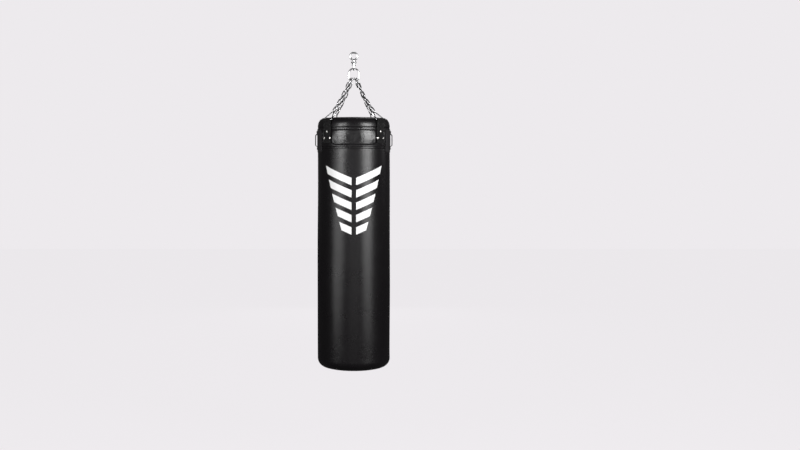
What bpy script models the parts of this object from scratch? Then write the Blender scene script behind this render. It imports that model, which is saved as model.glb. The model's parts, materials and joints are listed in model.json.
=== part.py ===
# Hanging punching bag: a filled cylinder on four chains below a swivel.
# Metres, +Z up, +X to the viewer's right, -Y towards the viewer. The origin is the hang point, the
# inside top of the swivel's upper eye, so that everything hangs below it.
import math

import bmesh
import bpy
from mathutils import Matrix, Vector

# Clearances between pieces
GAP = 0.0003                     # between pieces that lie on or against each other
BORE_CLEARANCE = 0.0003          # round a rivet's or a stem's shank

# Bag body
BODY_RADIUS = 0.175
BODY_HEIGHT = 1.2
SHOULDER_RADIUS = 0.022          # rounding between the side and the top
CORNER_RADIUS = 0.042            # rounding between the side and the bottom
COVER_WALL = 0.0025
TURN_STEPS = 40                  # facets round every large turned piece
GROOVE_MARGIN = 0.004            # how far the filling's groove runs past the rivets' plates

# Collar band, measured down from the rim
COLLAR_TOP = 0.053
COLLAR_BOTTOM = 0.134
COLLAR_WALL = 0.0015

# Lid zip, along X across the lid
ZIP_LENGTH = 0.23
ZIP_WIDTH = 0.026
ZIP_THICKNESS = COVER_WALL - 0.0009
ZIP_SINK = 0.0004                # the tape's face below the lid's
TEETH_LENGTH = ZIP_LENGTH - 0.016
TEETH_WIDTH = 0.006
TEETH_HEIGHT = 0.0014
SLIDER_LENGTH = 0.013
SLIDER_WIDTH = TEETH_WIDTH + 0.005
SLIDER_ROOF = 0.0014
SLIDER_START = 0.002             # from the end of the teeth to the slider at rest
PULL_LENGTH = 0.03
PULL_WIDTH = 0.0085
PULL_THICKNESS = 0.0016
PULL_CORNER = 0.003
PULL_EYE_LENGTH = 0.0058
PULL_RIM = 0.0018                # metal round the pull's eye
BRIDGE_WIRE = 0.0009             # radius
BRIDGE_LENGTH = 0.0078           # wire middle to middle
BRIDGE_HEIGHT = 2 * (BRIDGE_WIRE + PULL_THICKNESS)   # above the slider's roof; the pull turns in it

# Hanging straps: folded webbing on the outside, four of them; the back two stand a little closer
STRAP_AZIMUTHS = {"front_left": -135, "front_right": -45, "back_right": 51, "back_left": 129}
STRAP_WIDTH = 0.048
STRAP_PLY = 0.00235
STRAP_END_DROP = COLLAR_BOTTOM - 0.014               # its lower end, on the collar
STRAP_TAPER = 0.015              # the plies close up over this length below the ring
STRAP_STEPS = 4
STRAP_CURVED_DROP = COLLAR_TOP - 0.003               # below this the strap follows the wall
STRAP_FLAT_DROP = 0.026          # above this it is flat, as the ring's straight base makes it

# Rivets: one above two on each strap, two at each end of a handle
RIVET_SHANK = 0.002              # radius
RIVET_HEAD = 0.0054              # radius
RIVET_HEAD_HEIGHT = 0.0018
RIVET_SIDES = 8
UPPER_RIVET_DROP = COLLAR_TOP + 0.013
LOWER_RIVET_DROP = STRAP_END_DROP - 0.023
LOWER_RIVET_SPREAD = STRAP_WIDTH / 2 - 0.006         # each side of the strap's middle line
PLATE_THICKNESS = 0.0013
PLATE_MARGIN = 0.009             # plate beyond the rivets' centres

# Side handles
HANDLE_AZIMUTHS = {"left": 180, "right": 0}
HANDLE_WIDTH = 0.04
HANDLE_PLY = 0.0026
HANDLE_FOOT = 0.013              # length of each foot that lies on the bag
HANDLE_TOP_DROP = COLLAR_TOP + 0.005
HANDLE_END_DROP = COLLAR_BOTTOM + HANDLE_FOOT + 0.003
HANDLE_RISE = 0.0085             # from the collar to the band's inner face
HANDLE_RAMP = 0.01               # height over which the band leaves the bag
HANDLE_BEND = 0.0018             # rise of the ramp's soft upper bend
HANDLE_RIVET_SPREAD = HANDLE_WIDTH / 2 - 0.0095
HANDLE_STEPS = 4

# Chains, which hang on the straight bar at the bottom of a D-shaped master link
MASTER_WIRE = 0.0035             # radius
LINKS_PER_CHAIN = 8
LINK_WIRE = 0.0025               # radius
LINK_PITCH = 0.0276              # inside length of a link, of the chains with the longest span
LINK_INNER_WIDTH = 2 * MASTER_WIRE + 0.0025
CHAIN_SLACK = 0.0018             # share by which a chain is longer than its span
CHAIN_GAP = 0.0005               # where links hang on each other, on the bar and on a ring
SEAT_ROOM = 0.0004               # between the leaning tops of opposite chains' first links
SEAT_SPACING = 2 * LINK_WIRE + 0.0028                # between two chains on the bar
MASTER_CORNER = 0.006
MASTER_HEIGHT = 0.052            # wire middle to middle

# Strap rings: rounded triangles of round wire
RING_WIRE = 0.0025               # radius
RING_WIDTH = STRAP_WIDTH + 0.014                     # along the base, wire middle to middle
RING_HEIGHT = 0.06               # base to tip, wire middle to middle
RING_TIP_RADIUS = RING_WIRE + LINK_WIRE + CHAIN_GAP
RING_BASE_RADIUS = 0.004
RING_ROOM = 0.0025               # between a ring and the bag's shoulder, which it leans over

# Swivel
EYE_BORE = 0.013                 # radius inside the upper eye
EYE_WIRE = 0.0045
STEM_RADIUS = 0.005
STEM_COLLAR_RADIUS = STEM_RADIUS + 0.003
STEM_COLLAR_HEIGHT = 0.004
STEM_HEAD_RADIUS = STEM_RADIUS + 0.004
STEM_HEAD_HEIGHT = 0.0075
HEAD_CHAMFER = 0.002
BEARING_RADIUS = STEM_HEAD_RADIUS + 0.0015
BEARING_HEIGHT = 0.005
BOSS_RADIUS = BEARING_RADIUS + 0.0025
STIRRUP_WIRE = 0.004
BOSS_HEIGHT = 2 * STIRRUP_WIRE + 0.001
STIRRUP_WIDTH = 2 * (BOSS_RADIUS + STIRRUP_WIRE)     # wire middle to middle
STIRRUP_CORNER = STIRRUP_WIDTH / 2 - MASTER_WIRE - 0.0015   # leaves a straight seat for the master link
MASTER_HEADROOM = 0.008          # between the stem's head and the master link

# Heights that follow from the sizes above
EYE_CENTRE_Z = -EYE_BORE
STEM_COLLAR_TOP_Z = EYE_CENTRE_Z - EYE_BORE - EYE_WIRE
STEM_COLLAR_Z = EYE_CENTRE_Z - EYE_BORE - 2 * EYE_WIRE - STEM_COLLAR_HEIGHT
BOSS_TOP_Z = STEM_COLLAR_Z - GAP
BOSS_Z = BOSS_TOP_Z - BOSS_HEIGHT
BEARING_Z = BOSS_Z - GAP - BEARING_HEIGHT
STEM_END_Z = BEARING_Z - GAP - STEM_HEAD_HEIGHT
MASTER_TOP_Z = STEM_END_Z - MASTER_HEADROOM - MASTER_WIRE
STIRRUP_BOTTOM_Z = MASTER_TOP_Z - MASTER_WIRE - GAP - STIRRUP_WIRE
BAR_Z = MASTER_TOP_Z - MASTER_HEIGHT

# The straps' middle surface, between their two plies, and where a ring's base lies in it
COLLAR_RADIUS = BODY_RADIUS + GAP + COLLAR_WALL
STRAP_RADIUS = COLLAR_RADIUS + GAP + STRAP_PLY + GAP / 2
LOOP_RADIUS = RING_WIRE + GAP + STRAP_PLY / 2      # of the ply's middle line round a ring's base

# A ring leans over the shoulder with its chain, further on a wider bag, so its base sits as much higher.
# A slack chain's links turn by six times its slack, under a root, each way from its straight line.
LEAN = STRAP_RADIUS / (LINKS_PER_CHAIN * LINK_PITCH + RING_HEIGHT)
RING_LEAN = math.asin(LEAN) + math.sqrt(6 * CHAIN_SLACK)
BASE_DROP = SHOULDER_RADIUS - (SHOULDER_RADIUS + RING_WIRE + RING_ROOM
                               - (STRAP_RADIUS - BODY_RADIUS + SHOULDER_RADIUS) * math.cos(RING_LEAN)
                               ) / math.sin(RING_LEAN)

# Where the chains hang along the master link's bar, from its middle. A first link's top leans past
# the bar towards the opposite chain's.
LEAN_ALONG_BAR = LEAN * max(abs(math.cos(math.radians(a))) for a in STRAP_AZIMUTHS.values())
LINK_TOP = MASTER_WIRE + CHAIN_GAP + 2 * LINK_WIRE
INNER_SEAT = (LINK_WIRE * math.hypot(1, LEAN_ALONG_BAR / math.sqrt(1 - LEAN ** 2))
              + LINK_TOP * LEAN_ALONG_BAR + SEAT_ROOM)
OUTER_SEAT = INNER_SEAT + SEAT_SPACING
MASTER_WIDTH = 2 * (OUTER_SEAT + LINK_WIRE + MASTER_CORNER + 0.0013)   # wire middle to middle


def inside_of(radius, steps=TURN_STEPS):
    """Largest round radius that clears the facets of a turned wall of this inner radius."""
    return radius * math.cos(math.pi / steps) - GAP


def seat_reach(along):
    """How far a leaning link's inside top lies past the bar's centre, its whole bend clear of the bar."""
    clear = MASTER_WIRE + LINK_WIRE + CHAIN_GAP
    radius = LINK_INNER_WIDTH / 2 + LINK_WIRE
    across = along.cross(Vector((0, 1, 0))).normalized().cross(along)
    turns = [math.radians(angle) for angle in range(-60, 61, 5)]
    reach = clear
    for _ in range(12):
        bend = [across * radius * math.sin(t) - along * (reach - radius + radius * math.cos(t))
                for t in turns]
        reach += clear - min(spot.yz.length for spot in bend)
    return reach - LINK_WIRE


def link_steps(pitch, along):
    """Lengths down a chain from the bar's centre to the ring's tip, one for each link's direction."""
    spacing = pitch - CHAIN_GAP
    first = pitch / 2 - seat_reach(along) + spacing / 2
    last = spacing / 2 + pitch / 2 - CHAIN_GAP - RING_WIRE
    return [first] + [spacing] * (LINKS_PER_CHAIN - 2) + [last]


def seat_x(azimuth):
    """Where a chain hangs on the bar; opposite chains mirror each other through the middle."""
    side = 1 if math.cos(math.radians(azimuth)) > 0 else -1
    front = math.sin(math.radians(azimuth)) < 0
    outer = front == (side < 0)
    return side * (OUTER_SEAT if outer else INNER_SEAT)


def ring_base(azimuth, z):
    angle = math.radians(azimuth)
    return Vector((STRAP_RADIUS * math.cos(angle), STRAP_RADIUS * math.sin(angle), z))


def flat_span(azimuth):
    return (ring_base(azimuth, 0) - Vector((seat_x(azimuth), 0, 0))).length


def full_length(azimuth, drop):
    """Length of a chain at the full pitch with its ring, its first link leaning straight at the ring."""
    along = (ring_base(azimuth, -drop) - Vector((seat_x(azimuth), 0, 0))).normalized()
    return sum(link_steps(LINK_PITCH, along)) + RING_HEIGHT


def chain_drop():
    """Height from the bar down to the rings' bases, which leaves the longest span its slack."""
    widest = max(STRAP_AZIMUTHS.values(), key=flat_span)
    drop = flat_span(widest)
    for _ in range(20):
        drop = math.sqrt((full_length(widest, drop) * (1 - CHAIN_SLACK)) ** 2 - flat_span(widest) ** 2)
    return drop


def chain_pitch(azimuth):
    """Inside length of a chain's links, so that every chain has the same slack on its own span."""
    drop = chain_drop()
    wanted = math.hypot(flat_span(azimuth), drop) / (1 - CHAIN_SLACK)
    return LINK_PITCH + (wanted - full_length(azimuth, drop)) / LINKS_PER_CHAIN


RIM_Z = BAR_Z - chain_drop() + BASE_DROP
BOTTOM_Z = RIM_Z - BODY_HEIGHT
LID_RADIUS = BODY_RADIUS - SHOULDER_RADIUS - GAP
BASE_RADIUS = BODY_RADIUS - CORNER_RADIUS - GAP
ZIP_TOP_Z = RIM_Z - ZIP_SINK
SLIDER_X = -TEETH_LENGTH / 2 + SLIDER_LENGTH / 2 + SLIDER_START
SLIDER_ROOF_Z = ZIP_TOP_Z + TEETH_HEIGHT + GAP + SLIDER_ROOF
PULL_AXIS = Vector((SLIDER_X, 0, SLIDER_ROOF_Z + (BRIDGE_HEIGHT - 2 * BRIDGE_WIRE) / 2))


# Collections, empties and materials

def clear_scene():
    for obj in list(bpy.data.objects):
        bpy.data.objects.remove(obj, do_unlink=True)


def collection(name):
    group = bpy.data.collections.new(name)
    bpy.context.scene.collection.children.link(group)
    return group


def material(name, colour, roughness, metallic=0.0):
    mat = bpy.data.materials.new(name)
    mat.use_nodes = True
    shader = mat.node_tree.nodes["Principled BSDF"]
    shader.inputs["Base Color"].default_value = (*colour, 1)
    shader.inputs["Roughness"].default_value = roughness
    shader.inputs["Metallic"].default_value = metallic
    return mat


def axis_empty(name, place, parent=None):
    """Empty on a joint's axis, which the pieces that the joint moves are parented to."""
    empty = bpy.data.objects.new(name, None)
    empty.location = place
    PARTS.objects.link(empty)
    bpy.context.view_layer.update()
    if parent:
        hold(empty, parent)
    return empty


def hold(obj, parent):
    obj.parent = parent
    obj.matrix_parent_inverse = parent.matrix_world.inverted()
    bpy.context.view_layer.update()


def add_part(name, data, mat, parent=None, matrix=None):
    if isinstance(data, bpy.types.Mesh):
        smooth(data)
    obj = bpy.data.objects.new(name, data)
    PARTS.objects.link(obj)
    if not data.materials:
        data.materials.append(mat)
    if matrix:
        obj.matrix_world = matrix
    bpy.context.view_layer.update()
    if parent:
        hold(obj, parent)
    return obj


def add_cutter(name, data, matrix=None):
    obj = bpy.data.objects.new(name, data)
    CUTTERS.objects.link(obj)
    obj.hide_render = True
    obj.display_type = "WIRE"
    if matrix:
        obj.matrix_world = matrix
    return obj


def boolean(obj, other, operation):
    mod = obj.modifiers.new(other.name, "BOOLEAN")
    mod.operation = operation
    mod.solver = "EXACT"
    mod.object = other


def smooth(data, sharp=35):
    data.shade_smooth()
    data.set_sharp_from_angle(angle=math.radians(sharp))


# Shapes

def arc(centre, radius, start, end, steps):
    """Points on a circle in a plane, from one angle to another in degrees."""
    angles = [math.radians(start + (end - start) * i / steps) for i in range(steps + 1)]
    return [(centre[0] + radius * math.cos(a), centre[1] + radius * math.sin(a)) for a in angles]


def rounded_loop(corners, steps):
    """Closed outline through (x, y, radius) corners, counter-clockwise, each rounded by an arc."""
    points = []
    for i, (x, y, radius) in enumerate(corners):
        corner = Vector((x, y))
        before = (Vector(corners[i - 1][:2]) - corner).normalized()
        after = (Vector(corners[(i + 1) % len(corners)][:2]) - corner).normalized()
        half = before.angle(after) / 2
        centre = corner + (before + after).normalized() * (radius / math.sin(half))
        turn = math.pi - 2 * half
        first = corner + before * (radius / math.tan(half)) - centre
        for k in range(steps + 1):
            spot = centre + Matrix.Rotation(turn * k / steps, 2) @ first
            if not points or (spot - points[-1]).length > 1e-6:
                points.append(spot)
    if (points[0] - points[-1]).length < 1e-6:
        points.pop()
    return points


def wire_loop(name, outline, radius, sides_level=1):
    """Closed round wire along a flat outline, drawn in the curve's own XZ plane."""
    curve = bpy.data.curves.new(name, "CURVE")
    curve.dimensions = "3D"
    curve.bevel_depth = radius
    curve.bevel_resolution = sides_level
    spline = curve.splines.new("POLY")
    spline.points.add(len(outline) - 1)
    for point, (x, z) in zip(spline.points, outline):
        point.co = (x, 0, z, 1)
    spline.use_cyclic_u = True
    return curve


def loop_mesh(name, outline, radius, sides_level):
    """The same wire as a mesh, for pieces that are joined or cut."""
    guide = bpy.data.objects.new(name, wire_loop(name, outline, radius, sides_level))
    CUTTERS.objects.link(guide)
    bpy.context.view_layer.update()
    depsgraph = bpy.context.evaluated_depsgraph_get()
    data = bpy.data.meshes.new_from_object(guide.evaluated_get(depsgraph))
    bpy.data.objects.remove(guide)
    bm = bmesh.new()
    bm.from_mesh(data)
    bmesh.ops.remove_doubles(bm, verts=bm.verts, dist=1e-6)
    bm.to_mesh(data)
    bm.free()
    return data


def turned(name, profile, mat, parent=None, steps=TURN_STEPS, closed=True):
    """Profile of (radius, z) points, down the outer side first, turned about Z."""
    data = bpy.data.meshes.new(name)
    count = len(profile)
    edges = [(i, i + 1) for i in range(count - 1)]
    if closed:
        edges.append((count - 1, 0))
    data.from_pydata([(r, 0, z) for r, z in profile], edges, [])
    obj = add_part(name, data, mat, parent)
    mod = obj.modifiers.new("turn", "SCREW")
    mod.axis = "Z"
    mod.angle = 2 * math.pi
    mod.steps = steps
    mod.render_steps = steps
    mod.use_merge_vertices = True
    mod.merge_threshold = 1e-5
    mod.use_smooth_shade = True
    return obj


def ribbon(points, thickness):
    """Quads that give a line of (radius, z) points a thickness, half to each side."""
    verts = []
    for i, point in enumerate(points):
        here = Vector(point)
        before = (here - Vector(points[i - 1])).normalized() if i else None
        after = (Vector(points[i + 1]) - here).normalized() if i < len(points) - 1 else None
        along = ((before or after) + (after or before)).normalized()
        side = Vector((-along.y, along.x))
        reach = thickness / 2 / side.dot(Vector((-(after or before).y, (after or before).x)))
        verts += [here + side * reach, here - side * reach]
    faces = [(2 * i, 2 * i + 1, 2 * i + 3, 2 * i + 2) for i in range(len(points) - 1)]
    return verts, faces


def sector(name, verts, faces, azimuth, width, radius, steps):
    """Flat (radius, z) faces turned about Z through the angle that a width takes at a radius."""
    span = width / radius
    start = math.radians(azimuth) - span / 2
    bm = bmesh.new()
    made = [bm.verts.new((r * math.cos(start), r * math.sin(start), z)) for r, z in verts]
    for face in faces:
        bm.faces.new([made[i] for i in face])
    bmesh.ops.spin(bm, geom=bm.verts[:] + bm.edges[:] + bm.faces[:], cent=(0, 0, 0),
                   axis=(0, 0, 1), angle=span, steps=steps, use_duplicate=False)
    bmesh.ops.recalc_face_normals(bm, faces=bm.faces)
    data = bpy.data.meshes.new(name)
    bm.to_mesh(data)
    bm.free()
    return data


def join_rods(name, rods, sides=RIVET_SIDES):
    """One mesh of separate turned rods, each a list of (radius, height) and the matrix it stands by."""
    bm = bmesh.new()
    for profile, matrix in rods:
        rings = []
        for radius, height in profile:
            angles = [2 * math.pi * (k + 0.5) / sides for k in range(sides)]
            spots = [Vector((radius * math.cos(a), radius * math.sin(a), height)) for a in angles]
            rings.append([bm.verts.new(matrix @ spot) for spot in spots])
        for low, high in zip(rings, rings[1:]):
            for k in range(sides):
                bm.faces.new((low[k], low[(k + 1) % sides], high[(k + 1) % sides], high[k]))
        bm.faces.new(reversed(rings[0]))
        bm.faces.new(rings[-1])
    data = bpy.data.meshes.new(name)
    bm.to_mesh(data)
    bm.free()
    return data


def radial_matrix(azimuth, offset, z):
    """Frame at a height on the bag's axis whose Z points out at an azimuth, shifted sideways.

    The offset is a distance along the wall at the strap's radius, turned into an angle.
    """
    turn = math.radians(azimuth) + offset / STRAP_RADIUS
    return (Matrix.Translation((0, 0, z)) @ Matrix.Rotation(turn, 4, "Z")
            @ Matrix.Rotation(math.pi / 2, 4, "Y"))


# Bag body

def wall_profile(inset):
    """Points down the body's side from the lid's edge to the base's edge, moved in by an inset."""
    shoulder = arc((BODY_RADIUS - SHOULDER_RADIUS, RIM_Z - SHOULDER_RADIUS),
                   SHOULDER_RADIUS - inset, 90, 0, 4)
    corner = arc((BODY_RADIUS - CORNER_RADIUS, BOTTOM_Z + CORNER_RADIUS),
                 CORNER_RADIUS - inset, 0, -90, 6)
    return shoulder + corner


def plate_width(offsets):
    return 2 * (max(abs(offset) for offset in offsets) + PLATE_MARGIN)


def groove_radius():
    """Radius of the filling behind the rivets' plates, clear of the widest plate's facets."""
    plate = inside_of(BODY_RADIUS - COVER_WALL) - PLATE_THICKNESS
    step = plate_width([LOWER_RIVET_SPREAD, HANDLE_RIVET_SPREAD]) / STRAP_RADIUS / STRAP_STEPS
    return inside_of(plate, 2 * math.pi / step)


def plate_zone():
    """Top and bottom of the zone of the wall that has rivet plates behind it."""
    tops = [UPPER_RIVET_DROP, HANDLE_TOP_DROP + HANDLE_FOOT / 2]
    ends = [LOWER_RIVET_DROP, HANDLE_END_DROP - HANDLE_FOOT / 2]
    return RIM_Z - min(tops) + PLATE_MARGIN, RIM_Z - max(ends) - PLATE_MARGIN


def make_cover(holes):
    profile = wall_profile(0) + wall_profile(COVER_WALL)[::-1]
    obj = turned("outer_cover", profile, VINYL, BAG)
    boolean(obj, holes, "DIFFERENCE")


def make_collar(holes):
    outer, inner = COLLAR_RADIUS, BODY_RADIUS + GAP
    top, end = RIM_Z - COLLAR_TOP, RIM_Z - COLLAR_BOTTOM
    obj = turned("collar_band", [(outer, top), (outer, end), (inner, end), (inner, top)], VINYL, BAG)
    boolean(obj, holes, "DIFFERENCE")


def make_filling():
    """Packed textile, which fills the cover, with a groove round it for the rivets' plates."""
    inset = COVER_WALL + GAP
    wall = wall_profile(inset)
    top, end = plate_zone()
    top += GROOVE_MARGIN
    end -= GROOVE_MARGIN
    edge, groove = BODY_RADIUS - inset, groove_radius()
    rows = ([p for p in wall if p[1] > top] + [(edge, top), (groove, top), (groove, end), (edge, end)]
            + [p for p in wall if p[1] < end])
    turned("textile_filling", [(0, rows[0][1])] + rows + [(0, rows[-1][1])], TEXTILE, BAG, closed=False)


def make_base():
    low, high = BOTTOM_Z, BOTTOM_Z + COVER_WALL
    turned("base_panel", [(0, high), (BASE_RADIUS, high), (BASE_RADIUS, low), (0, low)], VINYL, BAG,
           closed=False)


def make_lid():
    high, low = RIM_Z, RIM_Z - COVER_WALL
    lid = turned("top_lid", [(0, high), (LID_RADIUS, high), (LID_RADIUS, low), (0, low)], VINYL, BAG,
                 closed=False)
    slot = box_mesh("zip_slot", ZIP_LENGTH + 2 * GAP, ZIP_WIDTH + 2 * GAP, 4 * COVER_WALL)
    boolean(lid, add_cutter("zip_slot", slot, Matrix.Translation((0, 0, RIM_Z))), "DIFFERENCE")


def box_mesh(name, length, width, height):
    bm = bmesh.new()
    bmesh.ops.create_cube(bm, size=1)
    bmesh.ops.scale(bm, vec=(length, width, height), verts=bm.verts)
    data = bpy.data.meshes.new(name)
    bm.to_mesh(data)
    bm.free()
    return data


# Zip in the lid

def make_zip():
    tape = add_part("lid_zip", box_mesh("lid_zip", ZIP_LENGTH, ZIP_WIDTH, ZIP_THICKNESS), ZIP_TAPE,
                    BAG, Matrix.Translation((0, 0, ZIP_TOP_Z - ZIP_THICKNESS / 2)))
    teeth = box_mesh("zip_teeth", TEETH_LENGTH, TEETH_WIDTH, 2 * TEETH_HEIGHT)
    boolean(tape, add_cutter("zip_teeth", teeth, Matrix.Translation((0, 0, ZIP_TOP_Z))), "UNION")


def make_slider():
    """Channel over the teeth, with a bridge of round wire on its roof for the pull."""
    low, roof = ZIP_TOP_Z + GAP, SLIDER_ROOF_Z
    height = roof - low
    body = add_part("zip_slider", box_mesh("zip_slider", SLIDER_LENGTH, SLIDER_WIDTH, height), ZIP_METAL,
                    SLIDE, Matrix.Translation((SLIDER_X, 0, low + height / 2)))
    channel = box_mesh("slider_channel", 2 * SLIDER_LENGTH, TEETH_WIDTH + 2 * GAP,
                       2 * (TEETH_HEIGHT + GAP))
    place = Matrix.Translation((SLIDER_X, 0, ZIP_TOP_Z))
    boolean(body, add_cutter("slider_channel", channel, place), "DIFFERENCE")
    half, rise = BRIDGE_LENGTH / 2, BRIDGE_HEIGHT - BRIDGE_WIRE
    corner = 2 * BRIDGE_WIRE
    outline = rounded_loop([(-half, -rise, corner), (half, -rise, corner),
                            (half, rise, corner), (-half, rise, corner)], 3)
    bridge = add_cutter("slider_bridge", loop_mesh("slider_bridge", outline, BRIDGE_WIRE, 1),
                        Matrix.Translation((SLIDER_X, 0, roof)))
    floor = box_mesh("bridge_floor", SLIDER_LENGTH, SLIDER_WIDTH, 2 * BRIDGE_HEIGHT)
    trim = add_cutter("bridge_floor", floor,
                      Matrix.Translation((SLIDER_X, 0, roof - BRIDGE_HEIGHT - SLIDER_ROOF / 2)))
    boolean(bridge, trim, "DIFFERENCE")
    boolean(body, bridge, "UNION")


def make_pull():
    """Flat tab whose rim turns under the bridge; at rest its free end lies on the teeth."""
    half_rim = PULL_RIM / 2
    outline = rounded_loop([(-half_rim, -PULL_WIDTH / 2, half_rim / 2),
                            (PULL_LENGTH, -PULL_WIDTH / 2, PULL_CORNER),
                            (PULL_LENGTH, PULL_WIDTH / 2, PULL_CORNER),
                            (-half_rim, PULL_WIDTH / 2, half_rim / 2)], 3)
    bm = bmesh.new()
    bm.faces.new([bm.verts.new((x, y, -PULL_THICKNESS / 2)) for x, y in outline])
    rise = bmesh.ops.extrude_face_region(bm, geom=bm.faces[:])
    top = [item for item in rise["geom"] if isinstance(item, bmesh.types.BMVert)]
    bmesh.ops.translate(bm, vec=(0, 0, PULL_THICKNESS), verts=top)
    bmesh.ops.recalc_face_normals(bm, faces=bm.faces)
    data = bpy.data.meshes.new("zip_pull")
    bm.to_mesh(data)
    bm.free()
    drop = PULL_AXIS.z - ZIP_TOP_Z - TEETH_HEIGHT - PULL_THICKNESS / 2 - GAP
    place = Matrix.Translation(PULL_AXIS) @ Matrix.Rotation(math.asin(drop / PULL_LENGTH), 4, "Y")
    pull = add_part("zip_pull", data, ZIP_METAL, PULL, place)
    eye = box_mesh("pull_eye", PULL_EYE_LENGTH, PULL_WIDTH - 2 * PULL_RIM, 4 * PULL_THICKNESS)
    middle = Matrix.Translation((half_rim + PULL_EYE_LENGTH / 2, 0, 0))
    boolean(pull, add_cutter("pull_eye", eye, place @ middle), "DIFFERENCE")


# Straps, handles and their rivets

def rivet_spots():
    """(azimuth, sideways offset, height, radius of the surface under its head) for each group."""
    strap_face = STRAP_RADIUS + GAP / 2 + STRAP_PLY
    groups = {}
    for name, azimuth in STRAP_AZIMUTHS.items():
        upper, lower = RIM_Z - UPPER_RIVET_DROP, RIM_Z - LOWER_RIVET_DROP
        groups["strap_rivets_" + name] = [(azimuth, 0, upper, strap_face),
                                          (azimuth, -LOWER_RIVET_SPREAD, lower, strap_face),
                                          (azimuth, LOWER_RIVET_SPREAD, lower, strap_face)]
    for name, azimuth in HANDLE_AZIMUTHS.items():
        feet = handle_feet()
        groups["handle_rivets_" + name] = [(azimuth, side * HANDLE_RIVET_SPREAD, z, face + HANDLE_PLY)
                                           for z, face in feet for side in (-1, 1)]
    return groups


def handle_feet():
    """Height of each foot's middle, and the radius of the foot's inner face."""
    return [(RIM_Z - HANDLE_TOP_DROP - HANDLE_FOOT / 2, COLLAR_RADIUS + GAP),
            (RIM_Z - HANDLE_END_DROP + HANDLE_FOOT / 2, BODY_RADIUS + GAP)]


def make_holes(groups):
    """Cutters for each group's rivet holes, and one for all of them."""
    inner = BODY_RADIUS - 5 * COVER_WALL
    outer = STRAP_RADIUS + 10 * STRAP_PLY
    radius = RIVET_SHANK + BORE_CLEARANCE
    cutters = {}
    every = []
    for name, spots in groups.items():
        rods = [([(radius, inner), (radius, outer)], radial_matrix(a, s, z)) for a, s, z, _ in spots]
        every += rods
        cutters[name] = add_cutter(name + "_holes", join_rods(name + "_holes", rods))
    return cutters, add_cutter("all_rivet_holes", join_rods("all_rivet_holes", every))


def make_rivets(name, spots):
    """A plate inside the cover, with its rivets through the wall and their heads outside."""
    outer = inside_of(BODY_RADIUS - COVER_WALL)
    inner = outer - PLATE_THICKNESS
    heights = [spot[2] for spot in spots]
    low, high = min(heights) - PLATE_MARGIN, max(heights) + PLATE_MARGIN
    width = plate_width([spot[1] for spot in spots])
    corners = [(inner, low), (outer, low), (outer, high), (inner, high)]
    data = sector(name, corners, [(0, 1, 2, 3)], spots[0][0], width, STRAP_RADIUS, STRAP_STEPS)
    plate = add_part(name, data, STEEL, BAG)
    rods = []
    for azimuth, offset, z, face in spots:
        seat = face + GAP
        dome = [(RIVET_HEAD * r, seat + RIVET_HEAD_HEIGHT * h) for r, h in arc((0, 0), 1, 0, 60, 3)]
        profile = [(RIVET_SHANK, inner + PLATE_THICKNESS / 2), (RIVET_SHANK, seat)] + dome
        rods.append((profile, radial_matrix(azimuth, offset, z)))
    boolean(plate, add_cutter(name + "_rods", join_rods(name + "_rods", rods)), "UNION")


def make_strap(name, azimuth, holes):
    """Webbing folded over the ring's base, its two plies side by side down the bag."""
    bar_z = RIM_Z - BASE_DROP
    end_z = RIM_Z - STRAP_END_DROP
    half = GAP / 2 + STRAP_PLY / 2
    fold = arc((STRAP_RADIUS, bar_z), LOOP_RADIUS, 0, 180, 6)
    swell = [(half + (LOOP_RADIUS - half) * u * u * (3 - 2 * u), bar_z - STRAP_TAPER * (1 - u))
             for u in (0, 1 / 3, 2 / 3)]
    outer = [(STRAP_RADIUS + half, end_z)] + [(STRAP_RADIUS + w, z) for w, z in swell]
    inner = [(2 * STRAP_RADIUS - r, z) for r, z in outer[::-1]]
    middle = [(STRAP_RADIUS + half, RIM_Z - drop) for drop in (STRAP_CURVED_DROP, STRAP_FLAT_DROP)]
    outer[1:1] = middle
    inner[-1:-1] = [(2 * STRAP_RADIUS - r, z) for r, z in middle[::-1]]
    verts, faces = ribbon(outer + fold + inner, STRAP_PLY)
    data = sector(name, verts, faces, azimuth, STRAP_WIDTH, STRAP_RADIUS, STRAP_STEPS)
    flatten_top(data, azimuth)
    strap = add_part(name, data, WEBBING, BAG)
    boolean(strap, holes, "DIFFERENCE")


def flatten_top(data, azimuth):
    """Lays a strap's curved top flat across the bag's radius; its width stays as it is."""
    turn = math.radians(azimuth)
    for vert in data.vertices:
        drop = RIM_Z - vert.co.z
        share = (STRAP_CURVED_DROP - drop) / (STRAP_CURVED_DROP - STRAP_FLAT_DROP)
        share = min(max(share, 0), 1)
        radius = math.hypot(vert.co.x, vert.co.y)
        angle = math.atan2(vert.co.y, vert.co.x) - turn
        angle = (angle + math.pi) % (2 * math.pi) - math.pi
        curved = Vector((radius * math.cos(angle), radius * math.sin(angle)))
        spot = curved.lerp(Vector((radius, STRAP_RADIUS * angle)), share)
        spot.rotate(Matrix.Rotation(turn, 2))
        vert.co.x, vert.co.y = spot


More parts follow.
